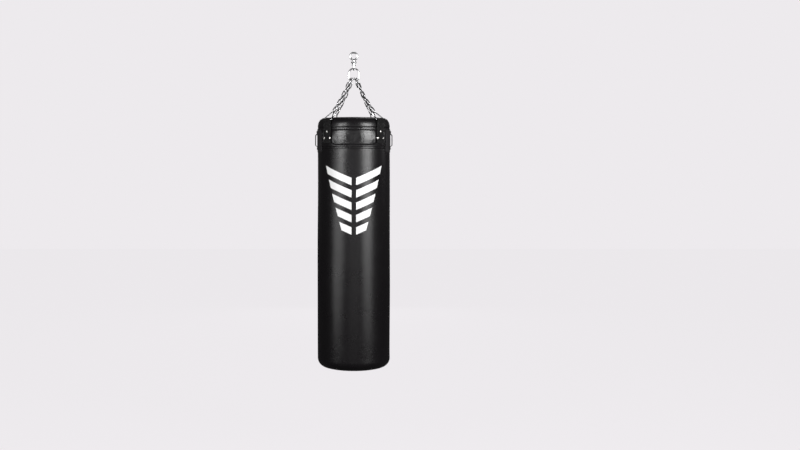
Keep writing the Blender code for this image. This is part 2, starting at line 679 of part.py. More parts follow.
def make_handle(name, azimuth, holes):
    """Webbing band with a foot at each end and a hand's gap behind it."""
    (top_z, top_face), (end_z, end_face) = handle_feet()
    half = HANDLE_PLY / 2
    band = COLLAR_RADIUS + HANDLE_RISE + half
    top_foot = [(top_face + half, top_z + HANDLE_FOOT / 2), (top_face + half, top_z - HANDLE_FOOT / 2)]
    end_foot = [(end_face + half, end_z + HANDLE_FOOT / 2), (end_face + half, end_z - HANDLE_FOOT / 2)]
    high, low = top_foot[1][1], end_foot[0][1]
    bend = (band - HANDLE_BEND, 0.7 * HANDLE_RAMP)
    middle = [(bend[0], high - bend[1]), (band, high - HANDLE_RAMP),
              (band, low + HANDLE_RAMP), (bend[0], low + bend[1])]
    verts, faces = ribbon(top_foot + middle + end_foot, HANDLE_PLY)
    data = sector(name, verts, faces, azimuth, HANDLE_WIDTH, STRAP_RADIUS, HANDLE_STEPS)
    handle = add_part(name, data, WEBBING, BAG)
    boolean(handle, holes, "DIFFERENCE")


# Rings and chains

def chain_angles(start, end, steps):
    """Each link's angle from the vertical, which grows by one step from link to link."""
    drop = start.z - end.z
    reach = math.hypot(end.x - start.x, end.y - start.y)

    def span(step):
        return sum((length * Vector((math.sin(i * step), math.cos(i * step)))
                    for i, length in enumerate(steps)), Vector((0, 0)))

    low, high = 0.0, math.radians(25)
    for _ in range(50):
        middle = (low + high) / 2
        if span(middle).length > math.hypot(reach, drop):
            low = middle
        else:
            high = middle
    bare = span(low)
    first = math.atan2(reach, drop) - math.atan2(bare.x, bare.y)
    return [first + i * low for i in range(LINKS_PER_CHAIN)], low


def solve_chain(azimuth):
    """Directions of a chain's links, and the way from its ring's tip to the ring's base.

    The ring leans in the strap's own radial plane, one step past the last link. Its lean moves its
    tip, and the first link's lean moves that link's seat, so both are found by repeating.
    """
    start = Vector((seat_x(azimuth), 0, BAR_Z))
    base = ring_base(azimuth, RIM_Z - BASE_DROP)
    outward = Vector((base.x, base.y, 0)).normalized()
    lean = math.radians(50)
    along = (base - start).normalized()
    for _ in range(30):
        down = outward * math.sin(lean) - Vector((0, 0, math.cos(lean)))
        tip = base - down * RING_HEIGHT
        level = Vector((tip.x - start.x, tip.y - start.y, 0)).normalized()
        angles, step = chain_angles(start, tip, link_steps(chain_pitch(azimuth), along))
        directions = [level * math.sin(a) - Vector((0, 0, math.cos(a))) for a in angles]
        along = directions[0]
        lean = (lean + angles[-1] + step) / 2
    return start, base, directions, down, level


def frame_matrix(place, along, normal):
    """Frame of a flat wire piece: local -Z runs along the chain and local Y is its plane's normal."""
    up = -along.normalized()
    side = normal.normalized()
    right = side.cross(up)
    matrix = Matrix((right, side, up)).transposed().to_4x4()
    matrix.translation = place
    return matrix


def make_chain(name, azimuth, ring_data):
    pitch = chain_pitch(azimuth)
    link_data = wire_loop("link_" + name, link_outline(pitch), LINK_WIRE)
    start, base, directions, ring_down, level = solve_chain(azimuth)
    flat = Vector((-level.y, level.x, 0))
    angle = math.radians(azimuth)
    tangent = Vector((-math.sin(angle), math.cos(angle), 0))

    def roll_of(normal, along):
        return math.atan2(normal.dot(along.cross(flat)), normal.dot(flat))

    # The first link hangs across the bar, along X, and the last across the ring's tip.
    first_normal = directions[0].cross(Vector((0, 1, 0))).normalized()
    first_roll = roll_of(first_normal, directions[0])
    turns = LINKS_PER_CHAIN - 1
    rest = roll_of(tangent, directions[-1]) - first_roll - turns * math.pi / 2
    twist = (rest + math.pi / 2) % math.pi - math.pi / 2
    place = start + directions[0] * (pitch / 2 - seat_reach(directions[0]))
    for i, along in enumerate(directions):
        if i:
            place = place + (directions[i - 1] + along) * (pitch - CHAIN_GAP) / 2
        roll = first_roll + i * (math.pi / 2 + twist / turns)
        normal = flat * math.cos(roll) + along.cross(flat) * math.sin(roll)
        add_part(f"chain_{name}_link_{i + 1}", link_data, CHAIN, BAG, frame_matrix(place, along, normal))
    add_part("strap_ring_" + name, ring_data, CHAIN, BAG,
             frame_matrix(base, ring_down, ring_down.cross(tangent)))


def link_outline(pitch):
    half_width = LINK_INNER_WIDTH / 2 + LINK_WIRE
    half_length = pitch / 2 + LINK_WIRE
    return rounded_loop([(-half_width, -half_length, half_width), (half_width, -half_length, half_width),
                         (half_width, half_length, half_width), (-half_width, half_length, half_width)], 3)


def ring_outline():
    """Rounded triangle on its base at z = 0, its tip's wire middle at the ring's height."""
    half = RING_WIDTH / 2
    tip = RING_HEIGHT
    for _ in range(20):
        tip = RING_HEIGHT - RING_TIP_RADIUS + RING_TIP_RADIUS * math.hypot(half, tip) / half
    return rounded_loop([(-half, 0, RING_BASE_RADIUS), (half, 0, RING_BASE_RADIUS),
                         (0, tip, RING_TIP_RADIUS)], 4)


# Master link and swivel

def make_master():
    half = MASTER_WIDTH / 2
    outline = rounded_loop([(-half, BAR_Z, MASTER_CORNER), (half, BAR_Z, MASTER_CORNER),
                            (half, MASTER_TOP_Z, half), (-half, MASTER_TOP_Z, half)], 5)
    shifted = [(x, z - STIRRUP_BOTTOM_Z) for x, z in outline]
    add_part("master_link", wire_loop("master_link", shifted, MASTER_WIRE, 2), CHAIN, SIDE,
             Matrix.Translation((0, 0, STIRRUP_BOTTOM_Z)))


def make_upper_eye():
    """Eye with a stem below it, which ends in a riveted-over head inside the stirrup."""
    profile = [(0, STEM_COLLAR_TOP_Z), (STEM_COLLAR_RADIUS, STEM_COLLAR_TOP_Z - EYE_WIRE / 2),
               (STEM_COLLAR_RADIUS, STEM_COLLAR_Z), (STEM_RADIUS, STEM_COLLAR_Z),
               (STEM_RADIUS, BEARING_Z - GAP), (STEM_HEAD_RADIUS, BEARING_Z - GAP),
               (STEM_HEAD_RADIUS, STEM_END_Z + HEAD_CHAMFER), (STEM_HEAD_RADIUS - HEAD_CHAMFER, STEM_END_Z),
               (0, STEM_END_Z)]
    stem = turned("swivel_upper_eye", profile, FORGED, steps=20, closed=False)
    circle = arc((0, EYE_CENTRE_Z), EYE_BORE + EYE_WIRE, -90, 270, 24)[:-1]
    eye = add_cutter("upper_eye_ring", loop_mesh("upper_eye_ring", circle, EYE_WIRE, 2))
    boolean(stem, eye, "UNION")


def make_bearing():
    outer, inner = BEARING_RADIUS, STEM_RADIUS + BORE_CLEARANCE
    high, low = BOSS_Z - GAP, BOSS_Z - GAP - BEARING_HEIGHT
    turned("swivel_thrust_bearing", [(outer, high), (outer, low), (inner, low), (inner, high)], BEARING,
           steps=20)


def make_stirrup():
    """Loop across Y with a bored boss at its top for the stem, and the master link at its bottom."""
    half = STIRRUP_WIDTH / 2
    top = (BOSS_TOP_Z + BOSS_Z) / 2
    outline = rounded_loop([(-half, STIRRUP_BOTTOM_Z, STIRRUP_CORNER), (half, STIRRUP_BOTTOM_Z, STIRRUP_CORNER),
                            (half, top, STIRRUP_CORNER / 2), (-half, top, STIRRUP_CORNER / 2)], 4)
    data = loop_mesh("swivel_lower_eye", outline, STIRRUP_WIRE, 2)
    data.transform(Matrix.Rotation(math.pi / 2, 4, "Z"))
    stirrup = add_part("swivel_lower_eye", data, FORGED, SPIN)
    boss = join_rods("boss", [([(BOSS_RADIUS, BOSS_Z), (BOSS_RADIUS, BOSS_TOP_Z)], Matrix())], 20)
    boolean(stirrup, add_cutter("boss", boss), "UNION")
    radius = STEM_RADIUS + BORE_CLEARANCE
    ends = [(radius, BOSS_Z - BOSS_HEIGHT), (radius, BOSS_TOP_Z + BOSS_HEIGHT)]
    bore = join_rods("stem_bore", [(ends, Matrix())], 20)
    boolean(stirrup, add_cutter("stem_bore", bore), "DIFFERENCE")


clear_scene()
PARTS = collection("punching_bag")
CUTTERS = collection("cutters")
VINYL = material("black_vinyl", (0.012, 0.011, 0.012), 0.42)
WEBBING = material("black_webbing", (0.014, 0.013, 0.014), 0.8)
TEXTILE = material("textile_filling", (0.32, 0.31, 0.3), 0.95)
STEEL = material("nickel_rivet", (0.72, 0.71, 0.7), 0.25, 1)
CHAIN = material("zinc_plated_chain", (0.6, 0.6, 0.6), 0.3, 1)
FORGED = material("plated_forging", (0.62, 0.62, 0.62), 0.32, 1)
BEARING = material("bearing_steel", (0.5, 0.5, 0.5), 0.3, 1)
ZIP_TAPE = material("zip_tape", (0.015, 0.015, 0.015), 0.75)
ZIP_METAL = material("zip_metal", (0.3, 0.3, 0.3), 0.35, 1)

SPIN = axis_empty("swivel_axis", (0, 0, STIRRUP_BOTTOM_Z))
SIDE = axis_empty("side_swing_axis", (0, 0, STIRRUP_BOTTOM_Z), SPIN)
BAG = axis_empty("front_swing_axis", (0, 0, BAR_Z), SIDE)
SLIDE = axis_empty("zip_start", (SLIDER_X, 0, ZIP_TOP_Z), BAG)
PULL = axis_empty("pull_axis", PULL_AXIS, SLIDE)

make_upper_eye()
make_bearing()
make_stirrup()
make_master()

ring_curve = wire_loop("strap_ring", ring_outline(), RING_WIRE)
for corner_name, corner_azimuth in STRAP_AZIMUTHS.items():
    make_chain(corner_name, corner_azimuth, ring_curve)

rivet_groups = rivet_spots()
hole_cutters, all_holes = make_holes(rivet_groups)
for group_name, group_spots in rivet_groups.items():
    make_rivets(group_name, group_spots)
for corner_name, corner_azimuth in STRAP_AZIMUTHS.items():
    make_strap("hanging_strap_" + corner_name, corner_azimuth, hole_cutters["strap_rivets_" + corner_name])
for side_name, side_azimuth in HANDLE_AZIMUTHS.items():
    make_handle("side_handle_" + side_name, side_azimuth, hole_cutters["handle_rivets_" + side_name])

make_cover(all_holes)
make_collar(all_holes)
make_filling()
make_base()
make_lid()
make_zip()
make_slider()
make_pull()

for obj in PARTS.objects:
    if obj.type == "MESH":
        obj.modifiers.new("even_shading", "WEIGHTED_NORMAL")

print("hang point to bar", round(-BAR_Z, 4), "rim", round(RIM_Z, 4), "bottom", round(BOTTOM_Z, 4))
print("side swing axis", round(STIRRUP_BOTTOM_Z, 5), "front swing axis", round(BAR_Z, 5))
print("pull axis", [round(value, 5) for value in PULL_AXIS])
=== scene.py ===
# Looks of a hanging punching bag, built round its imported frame. Metres, +Z up, the viewer at -Y.
import json
import math

import bmesh
import bpy
import numpy as np
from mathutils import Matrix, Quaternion, Vector


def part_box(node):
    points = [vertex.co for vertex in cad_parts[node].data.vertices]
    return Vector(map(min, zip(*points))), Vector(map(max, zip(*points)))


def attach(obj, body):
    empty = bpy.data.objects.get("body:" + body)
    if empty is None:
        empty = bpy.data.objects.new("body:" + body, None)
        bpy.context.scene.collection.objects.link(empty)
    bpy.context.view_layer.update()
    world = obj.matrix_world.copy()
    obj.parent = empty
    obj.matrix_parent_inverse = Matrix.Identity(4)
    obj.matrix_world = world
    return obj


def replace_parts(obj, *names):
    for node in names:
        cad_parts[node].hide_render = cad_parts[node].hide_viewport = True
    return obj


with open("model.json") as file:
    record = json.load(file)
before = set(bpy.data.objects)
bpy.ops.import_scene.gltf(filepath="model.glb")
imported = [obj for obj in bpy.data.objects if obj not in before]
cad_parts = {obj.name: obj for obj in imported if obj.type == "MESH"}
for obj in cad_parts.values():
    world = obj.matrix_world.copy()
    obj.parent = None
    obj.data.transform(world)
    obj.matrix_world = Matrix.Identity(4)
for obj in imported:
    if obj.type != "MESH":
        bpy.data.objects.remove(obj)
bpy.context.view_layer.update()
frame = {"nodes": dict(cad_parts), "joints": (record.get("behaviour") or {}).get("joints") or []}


# Sizes read from the frame, which every piece below is placed by
def meshPoints(mesh):  # all corner points of a mesh, as an array
    flat = np.empty(len(mesh.vertices) * 3, np.float32)
    mesh.vertices.foreach_get("co", flat)
    return flat.reshape(-1, 3).astype(float)


def nodePoints(name):
    return meshPoints(frame["nodes"][name].data)


def jointPlace(name):
    return np.array(next(j for j in frame["joints"] if j["name"] == name)["pos_m"], float)


def newObject(name, data):  # an object of this data, put into the scene
    made = bpy.data.objects.new(name, data)
    bpy.context.scene.collection.objects.link(made)
    return made


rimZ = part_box("top_lid")[1].z
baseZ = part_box("base_panel")[0].z
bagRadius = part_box("outer_cover")[1].x
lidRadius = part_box("top_lid")[1].x
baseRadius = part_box("base_panel")[1].x
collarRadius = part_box("collar_band")[1].x
collarBottom, collarTop = (corner.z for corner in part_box("collar_band"))
corners = {"front_left": -135, "front_right": -45, "back_right": 51, "back_left": 129}
sides = {"left": 180, "right": 0}
upwards = np.array((0, 0, 1.0))


# Camera: level with the bag's upper third, five metres in front of it
cameraView = {
    "distance": 5.04,
    "belowRim": 0.272,
    "lens": 46.6,
    "sensor": 36,
    "frameWidth": 800,  # the photograph's frame, in pixels
    "leftOfMiddle": 46.2,  # the bag's axis, in pixels from the frame's middle
    "horizonAbove": 50.0,  # the horizon, in pixels over the frame's middle
    "seesTo": 60,
}


def makeCamera(v):
    data = bpy.data.cameras.new("camera")
    data.sensor_fit = "HORIZONTAL"
    data.sensor_width = v["sensor"]
    data.lens = v["lens"]
    data.shift_x = v["leftOfMiddle"] / v["frameWidth"]
    data.shift_y = -v["horizonAbove"] / v["frameWidth"]
    data.clip_end = v["seesTo"]
    camera = newObject("camera", data)
    camera.location = (0, -v["distance"], rimZ - v["belowRim"])
    camera.rotation_euler = (math.radians(90), 0, 0)
    bpy.context.scene.camera = camera


makeCamera(cameraView)
print("camera placed")


# Shader expressions: a socket that takes part in arithmetic, and a material that makes nodes
def connect(tree, item, slot):  # links a Value to an input, or sets a plain value on it
    if isinstance(item, Value):
        tree.links.new(item.socket, slot)
    else:
        slot.default_value = item


def addNode(tree, kind, settings=None, output=0, **inputs):
    # a shader node with its settings, then its inputs by name, or by number as i0, i1
    made = tree.nodes.new("ShaderNode" + kind)
    for key, value in (settings or {}).items():
        setattr(made, key, value)
    for key, item in inputs.items():
        connect(tree, item, made.inputs[int(key[1:]) if key[1:].isdigit() else key])
    return Value(tree, made.outputs[output])


def mathStep(operation):  # an operator or method of a Value that adds one Math node
    return lambda value, *others: value.math(operation, *others)


class Value:
    def __init__(self, tree, socket):
        self.tree, self.socket = tree, socket

    def math(self, operation, *others):
        inputs = {f"i{n}": item for n, item in enumerate((self, *others))}
        return addNode(self.tree, "Math", {"operation": operation}, **inputs)

    __add__ = __radd__ = mathStep("ADD")
    __mul__ = __rmul__ = mathStep("MULTIPLY")
    __sub__ = mathStep("SUBTRACT")
    __gt__ = mathStep("GREATER_THAN")
    __lt__ = mathStep("LESS_THAN")
    __mod__ = mathStep("FLOORED_MODULO")
    __abs__ = mathStep("ABSOLUTE")
    sin = mathStep("SINE")
    lowest = mathStep("MINIMUM")
    highest = mathStep("MAXIMUM")

    def __rsub__(self, other):
        return (self * -1) + other


class Finish:
    sockets = {"colour": "Base Color", "roughness": "Roughness", "metallic": "Metallic", "normal": "Normal",
               "specular": "Specular IOR Level", "sheen": "Sheen Weight", "sheenRoughness": "Sheen Roughness"}

    def __init__(self, name):
        self.material = bpy.data.materials.new(name)
        self.material.use_nodes = True
        self.tree = self.material.node_tree
        self.shader = self.tree.nodes["Principled BSDF"]
        self.place = self.node("TexCoord", output="Object")

    def node(self, *facts, **inputs):
        return addNode(self.tree, *facts, **inputs)

    def split(self, vector):
        first = self.node("SeparateXYZ", i0=vector)
        return [Value(self.tree, out) for out in first.socket.node.outputs]

    def noise(self, scale, detail=3.0, rough=0.55):
        return self.node("TexNoise", Vector=self.place, Scale=scale, Detail=detail, Roughness=rough)

    def blendColour(self, share, first, second):
        first, second = (c if isinstance(c, Value) else (*c, 1) for c in (first, second))
        return self.node("Mix", {"data_type": "RGBA"}, 2, i0=share, i6=first, i7=second)

    def bump(self, height, distance, strength=1.0, **before):
        return self.node("Bump", Height=height, Distance=distance, Strength=strength, **before)

    def surface(self, **inputs):
        for key, item in inputs.items():
            connect(self.tree, item, self.shader.inputs[self.sockets[key]])
        return self.material


# Grids and meshes. A shape is an array of points, in rows that each go round, and a list of faces
def unit(vectors):
    return vectors / np.linalg.norm(vectors, axis=-1, keepdims=True)


def asPoints(*coordinates):  # arrays of one coordinate each, as one array of points
    return np.stack(np.broadcast_arrays(*coordinates), -1)


def joined(*parts):
    return np.concatenate(parts)


def circle(count):  # even angles round a full turn
    return np.linspace(0, 2 * np.pi, count, endpoint=False)


def polar(radius, angle, height):  # points at a radius and angle about Z, and a height
    return asPoints(radius * np.cos(angle), radius * np.sin(angle), height)


def towards(azimuth):  # unit vectors outwards and along the wall at an azimuth in degrees
    return polar(1.0, math.radians(azimuth), 0), polar(1.0, math.radians(azimuth + 90), 0)


def column(row):  # a row of numbers stood up, and a grid as it is
    return np.asarray(row, float)[:, None] if np.ndim(row) == 1 else row


def tubeFaces(rows, columns, closed=False):
    # quads round a tube of rings; the last ring meets the first if closed, else each end has a face
    r, c = np.arange(rows if closed else rows - 1)[:, None], np.arange(columns)[None, :]
    nextR, nextC = (r + 1) % rows, (c + 1) % columns
    quads = asPoints(r * columns + c, r * columns + nextC, nextR * columns + nextC, nextR * columns + c)
    ends = [] if closed else [list(range(columns)), list(range((rows - 1) * columns, rows * columns))]
    return quads.reshape(-1, 4).tolist() + ends


def capped(points):
    return points, tubeFaces(*points.shape[:2])


def closedRing(points):
    return points, tubeFaces(*points.shape[:2], closed=True)


def manyTubes(points):
    # the same for an array of many small tubes of one size
    count, rows, columns = points.shape[:3]
    start = (np.arange(count) * rows * columns)[:, None]
    quads = np.array(tubeFaces(rows, columns)[:-2])
    faces = (quads[None] + start[..., None]).reshape(-1, 4).tolist()
    for end in (np.arange(columns), (rows - 1) * columns + np.arange(columns)):
        faces += (end + start).tolist()
    return points, faces


def joinParts(*parts):
    # several shapes as one, their faces renumbered
    points, faces, start = [], [], 0
    for spots, own in parts:
        points.append(spots.reshape(-1, 3))
        faces += [[i + start for i in face] for face in own]
        start += len(points[-1])
    return np.concatenate(points), faces


def turned(radius, height, columns=192, makeShape=capped):
    # radius and height, rows or rows x columns, turned about Z
    return makeShape(polar(column(radius), circle(columns)[None, :], column(height)))


def addPiece(name, shape, material, body="bag", uv=None):
    # puts a shape into a mesh, turns its faces outwards, and rides it on a body
    mesh = bpy.data.meshes.new(name)
    mesh.from_pydata(shape[0].reshape(-1, 3).tolist(), [], shape[1])
    if uv is not None:
        index = np.empty(len(mesh.loops), np.int32)
        mesh.loops.foreach_get("vertex_index", index)
        flat = np.asarray(uv, np.float32).reshape(-1, 2)[index].ravel()
        mesh.uv_layers.new(name="UVMap").data.foreach_set("uv", flat)
    shell = bmesh.new()
    shell.from_mesh(mesh)
    bmesh.ops.recalc_face_normals(shell, faces=shell.faces)
    shell.to_mesh(mesh)
    shell.free()
    mesh.materials.append(material)
    mesh.shade_smooth()
    mesh.set_sharp_from_angle(angle=math.radians(50))
    piece = newObject(name, mesh)
    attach(piece, body)
    return piece


def roundedPath(cornerList, perCorner=8, spacing=0.003):
    # closed flat outline through (x, y, radius) corners, each an arc, with even points on the straights
    spots = np.array([corner[:2] for corner in cornerList], float)
    arcs = []
    for i, (_, _, radius) in enumerate(cornerList):
        before, after = unit(spots[i - 1] - spots[i]), unit(spots[(i + 1) % len(spots)] - spots[i])
        half = math.acos(np.clip(before @ after, -1, 1)) / 2
        centre = spots[i] + unit(before + after) * radius / math.sin(half)
        x, y = spots[i] + before * radius / math.tan(half) - centre
        c, s = (f(np.linspace(0, math.pi - 2 * half, perCorner + 1)) for f in (np.cos, np.sin))
        arcs.append(centre + asPoints(x * c - y * s, x * s + y * c))
    full = []
    for arc, following in zip(arcs, arcs[1:] + arcs[:1]):
        gap = following[0] - arc[-1]
        steps = max(int(np.linalg.norm(gap) / spacing), 1)
        full += [arc, arc[-1] + gap * np.linspace(0, 1, steps + 1)[1:-1, None]]
    full = np.concatenate(full)
    return full[np.linalg.norm(full - np.roll(full, 1, 0), axis=1) > 1e-7]


def roundedBox(x0, x1, y0, y1, radii, perCorner=8, spacing=0.003):
    # the same round a rectangle, with one radius or four
    around = zip((x0, x1, x1, x0), (y0, y0, y1, y1), np.broadcast_to(radii, 4))
    return roundedPath(list(around), perCorner, spacing)


def wireAlong(path, normal, radius, sectionSteps=14):
    # round wire along a closed 3-D path that lies in a plane; radius may change along it
    side = np.cross(unit(np.roll(path, -1, 0) - np.roll(path, 1, 0)), normal)
    turn = circle(sectionSteps)[None, :, None]
    ring = side[:, None] * np.cos(turn) + np.array(normal) * np.sin(turn)
    return closedRing(path[:, None] + ring * np.broadcast_to(radius, len(path))[:, None, None])


def lengthsAlong(line):  # how far each point of a line is from its start
    return joined([0], np.cumsum(np.linalg.norm(np.diff(line, axis=0), axis=1)))


def lineAt(line, at):  # points of a line at lengths from its start
    length = lengthsAlong(line)
    return np.stack([np.interp(at, length, line[:, k]) for k in range(line.shape[1])], -1)


def smoothStep(x, low, high):
    t = np.clip((x - low) / (high - low), 0, 1)
    return t * t * (3 - 2 * t)


def waves(seed, terms, *coordinates):
    # a smooth uneven field from -1 to 1: sines of the coordinates with seeded directions and phases
    rng = np.random.default_rng(seed)
    total = 0
    for _ in range(terms):
        phase = rng.uniform(0, 2 * np.pi)
        total = total + np.sin(sum(c * rng.normal(0, 1) for c in coordinates) + phase)
    return total / math.sqrt(terms * 2)


# Materials
vinylLook = {
    "colour": (0.0048, 0.0042, 0.0048),
    "worn": (0.011, 0.0102, 0.011),
    "ink": (0.7, 0.7, 0.7),
    "grain": 0.0016,  # size of the grain's cells
    "roughness": 0.28,
    "gloss": 0.3,
    "bars": 5,
    "printTop": 0.290,  # where the middle of the topmost bar starts, below the rim
    "printHalf": 0.150,  # half width of the print at its top
    "printTaper": 0.34,
    "printPitch": 0.058,  # from bar to bar
    "printBend": 0.42,  # how steeply the bars rise from the middle
    "printGap": 0.011,  # bare on each side of the middle line
}


def printMask(m, v):
    # white bars in a tapering stack, each bent up from a bare middle line
    x, y, z = m.split(m.place)
    away = abs(x.math("ARCTAN2", y * -1) * bagRadius)
    down = (z - (rimZ - v["printTop"])) * -1 + away * v["printBend"]
    edge = m.noise(900.0, 2.0) * 0.0016 - 0.0008
    inBar = ((down + edge) % v["printPitch"]) < v["printPitch"] * 0.6
    wide = (away + edge) < (v["printHalf"] - down * v["printTaper"])
    bare = (away + edge) > v["printGap"]
    high = (down + edge) > 0.0
    low = (down + edge) < v["printPitch"] * v["bars"]
    return inBar * wide * bare * high * low * (y < 0.0)


def makeVinyl(name, v, printed=False):
    # grain of soft cells over broad dents, scuffed in patches
    m = Finish(name)
    cells = m.node("TexVoronoi", {"feature": "SMOOTH_F1"}, Vector=m.place, Scale=1 / v["grain"],
                   Smoothness=0.6)
    broad = m.noise(9.0, 4.0)
    mark = (m.noise(55.0, 5.0, 0.7) - 0.56).highest(0.0) * 2.2
    colour = m.blendColour(mark.lowest(1.0), v["colour"], v["worn"])
    rough = v["roughness"] + broad * 0.1 - 0.05 + mark * 0.25
    normal = m.bump(broad, 0.0011, 0.6)
    normal = m.bump(cells * 0.7 + m.noise(2600.0) * 0.25, 0.00026, 0.6, Normal=normal)
    if printed:
        thin = (m.noise(420.0, 4.0, 0.7) * 4.0 - 0.72).lowest(1.0).highest(0.0)
        mask = printMask(m, v) * (thin * 0.2 + 0.8)
        colour = m.blendColour(mask, colour, v["ink"])
        rough = rough + mask * 0.12
        normal = m.bump(mask, 0.00012, 0.6, Normal=normal)
    return m.surface(colour=colour, roughness=rough, normal=normal, specular=v["gloss"])


webbingLook = {
    # dark and light: the weave's painted shade in its grooves and painted light on its crests
    "dark": (0.0017, 0.0016, 0.0017),
    "light": (0.0115, 0.011, 0.0115),
    "pitch": 0.0026,  # one rib across the width
    "row": 0.0019,  # one row of weft along the length
    "relief": 0.0006,
    "roughness": 0.84,
    "gloss": 0.12,
    "sheen": 0.02,
}


def makeWebbing(name, v):
    # ribs along the length, each crossed by short weft floats that shift from rib to rib, by the UV map
    m = Finish(name)
    u, w, _ = m.split(m.node("UVMap", {"uv_map": "UVMap"}))
    rib = abs((w * (math.pi / v["pitch"])).sin())
    odd = ((w * (1 / v["pitch"])) % 2.0) > 1.0
    weft = abs((u * (math.pi / v["row"]) + odd * (math.pi / 2)).sin())
    weave = rib * 0.55 + rib * weft * 0.45
    fuzz = m.noise(2400.0, 2.0)
    rubbed = (m.noise(60.0, 4.0) - 0.45).highest(0.0) * 1.6
    # painted shade and light: the colour is darker in the grooves between ribs and floats and lighter on
    # their crests, as light falls on the weave; rubbed patches lighten it as wear and fuzz varies it at
    # random
    shade = (weave * (0.7 + rubbed) + fuzz * 0.3).lowest(1.0)
    return m.surface(colour=m.blendColour(shade, v["dark"], v["light"]), specular=v["gloss"],
                     roughness=v["roughness"] - weave * 0.14, sheen=v["sheen"], sheenRoughness=0.4,
                     normal=m.bump(weave + fuzz * 0.2, v["relief"], 0.9))


def makeThread(name, colour):
    m = Finish(name)
    twist = m.noise(3000.0, 2.0)
    shade = m.blendColour(twist, [c * 0.6 for c in colour], colour)
    return m.surface(colour=shade, roughness=0.62 + twist * 0.1, normal=m.bump(twist, 0.0002, 0.5))


def makeMetal(name, colour, roughness, scratch=0.5, spots=0.0):
    # plated steel, cloudy and finely scratched, with dull spots
    m = Finish(name)
    cloud = m.noise(160.0, 4.0)
    tarnish = ((m.noise(60.0, 5.0, 0.75) - 0.55) * 3.0).highest(0.0).lowest(1.0) * spots
    shade = m.blendColour(tarnish, colour, [c * 0.45 for c in colour])
    rough = roughness + (cloud - 0.5) * 0.16 + tarnish * 0.2
    normal = m.bump(m.noise(1500.0, 3.0, 0.7) * scratch + cloud, 0.00012, 0.35)
    return m.surface(colour=shade, metallic=1.0, roughness=rough, normal=normal)


def makeTape(name):
    # herringbone cloth of the zip's tape: slanted ribs that turn at each band
    m = Finish(name)
    x, y, _ = m.split(m.place)
    band = (abs(y) * 420).math("FLOOR") % 2.0
    rib = ((x + y * (band * 2.0 - 1.0)) * 5200.0).sin() * 0.5 + 0.5
    fuzz = m.noise(3000.0, 2.0)
    # painted shade and light: the tape is darker in the grooves between its slanted ribs and lighter on their
    # crests, as light falls on the weave
    colour = m.blendColour(rib, (0.008, 0.008, 0.008), (0.026, 0.025, 0.026))
    return m.surface(colour=colour, roughness=0.8 + fuzz * 0.1, normal=m.bump(rib + fuzz * 0.3, 0.0003, 0.7))


patchLook = {"roughness": 0.6, "gloss": 0.2, "colour": (0.017, 0.016, 0.017), "worn": (0.03, 0.029, 0.03),
             "grain": 0.0022}
coverVinyl = makeVinyl("printedVinyl", vinylLook, printed=True)
plainVinyl = makeVinyl("plainVinyl", vinylLook)
collarVinyl = makeVinyl("collarVinyl", {**vinylLook, "gloss": 0.37})
patchVinyl = makeVinyl("patchVinyl", {**vinylLook, **patchLook})
strapWebbing = makeWebbing("blackWebbing", webbingLook)
darkThread = makeThread("darkThread", (0.03, 0.029, 0.03))
linkSteel = makeMetal("zincPlatedLinks", (0.54, 0.54, 0.55), 0.12, spots=0.5)
forgedSteel = makeMetal("platedForging", (0.66, 0.66, 0.67), 0.26, scratch=0.9, spots=0.4)
rivetNickel = makeMetal("nickelRivets", (0.84, 0.82, 0.79), 0.29)
bearingSteel = makeMetal("bearingSteel", (0.55, 0.55, 0.56), 0.26)
zipAlloy = makeMetal("zipAlloy", (0.36, 0.36, 0.37), 0.33, spots=0.4)
zipCloth = makeTape("zipTapeCloth")
print("materials made")


# Bag cover: shoulder, wall and bottom corner in one skin, over the filling
cover = {
    "shoulder": 0.022,  # across
    "shoulderDrop": 0.038,  # and down
    "corner": 0.042,
    "lump": 0.0010,  # uneven packing of the filling
    "pucker": 0.0005,  # of the skin beside its seams
    "puckerReach": 0.016,
    "shoulderReach": 0.006,
    "puckers": 88,  # round the bag
    # drop below the rim, depth (in is minus) and reach of each hollow and swell along the seams
    "grooves": ((0.1370, -0.0016, 0.0030), (0.0466, -0.0020, 0.0024), (0.1475, -0.0008, 0.0020)),
    "underLid": 0.006,
    "columns": 256,
}


def turnApart(angle, azimuth):  # the angle between, either way round
    return np.abs((angle - math.radians(azimuth) + np.pi) % (2 * np.pi) - np.pi)


def nearAzimuth(angle, azimuths, half, soft):
    # 1 within half metres along the wall of any azimuth, falling to 0 over soft metres
    return np.max([1 - smoothStep(turnApart(angle, a) * bagRadius, half, half + soft) for a in azimuths], 0)


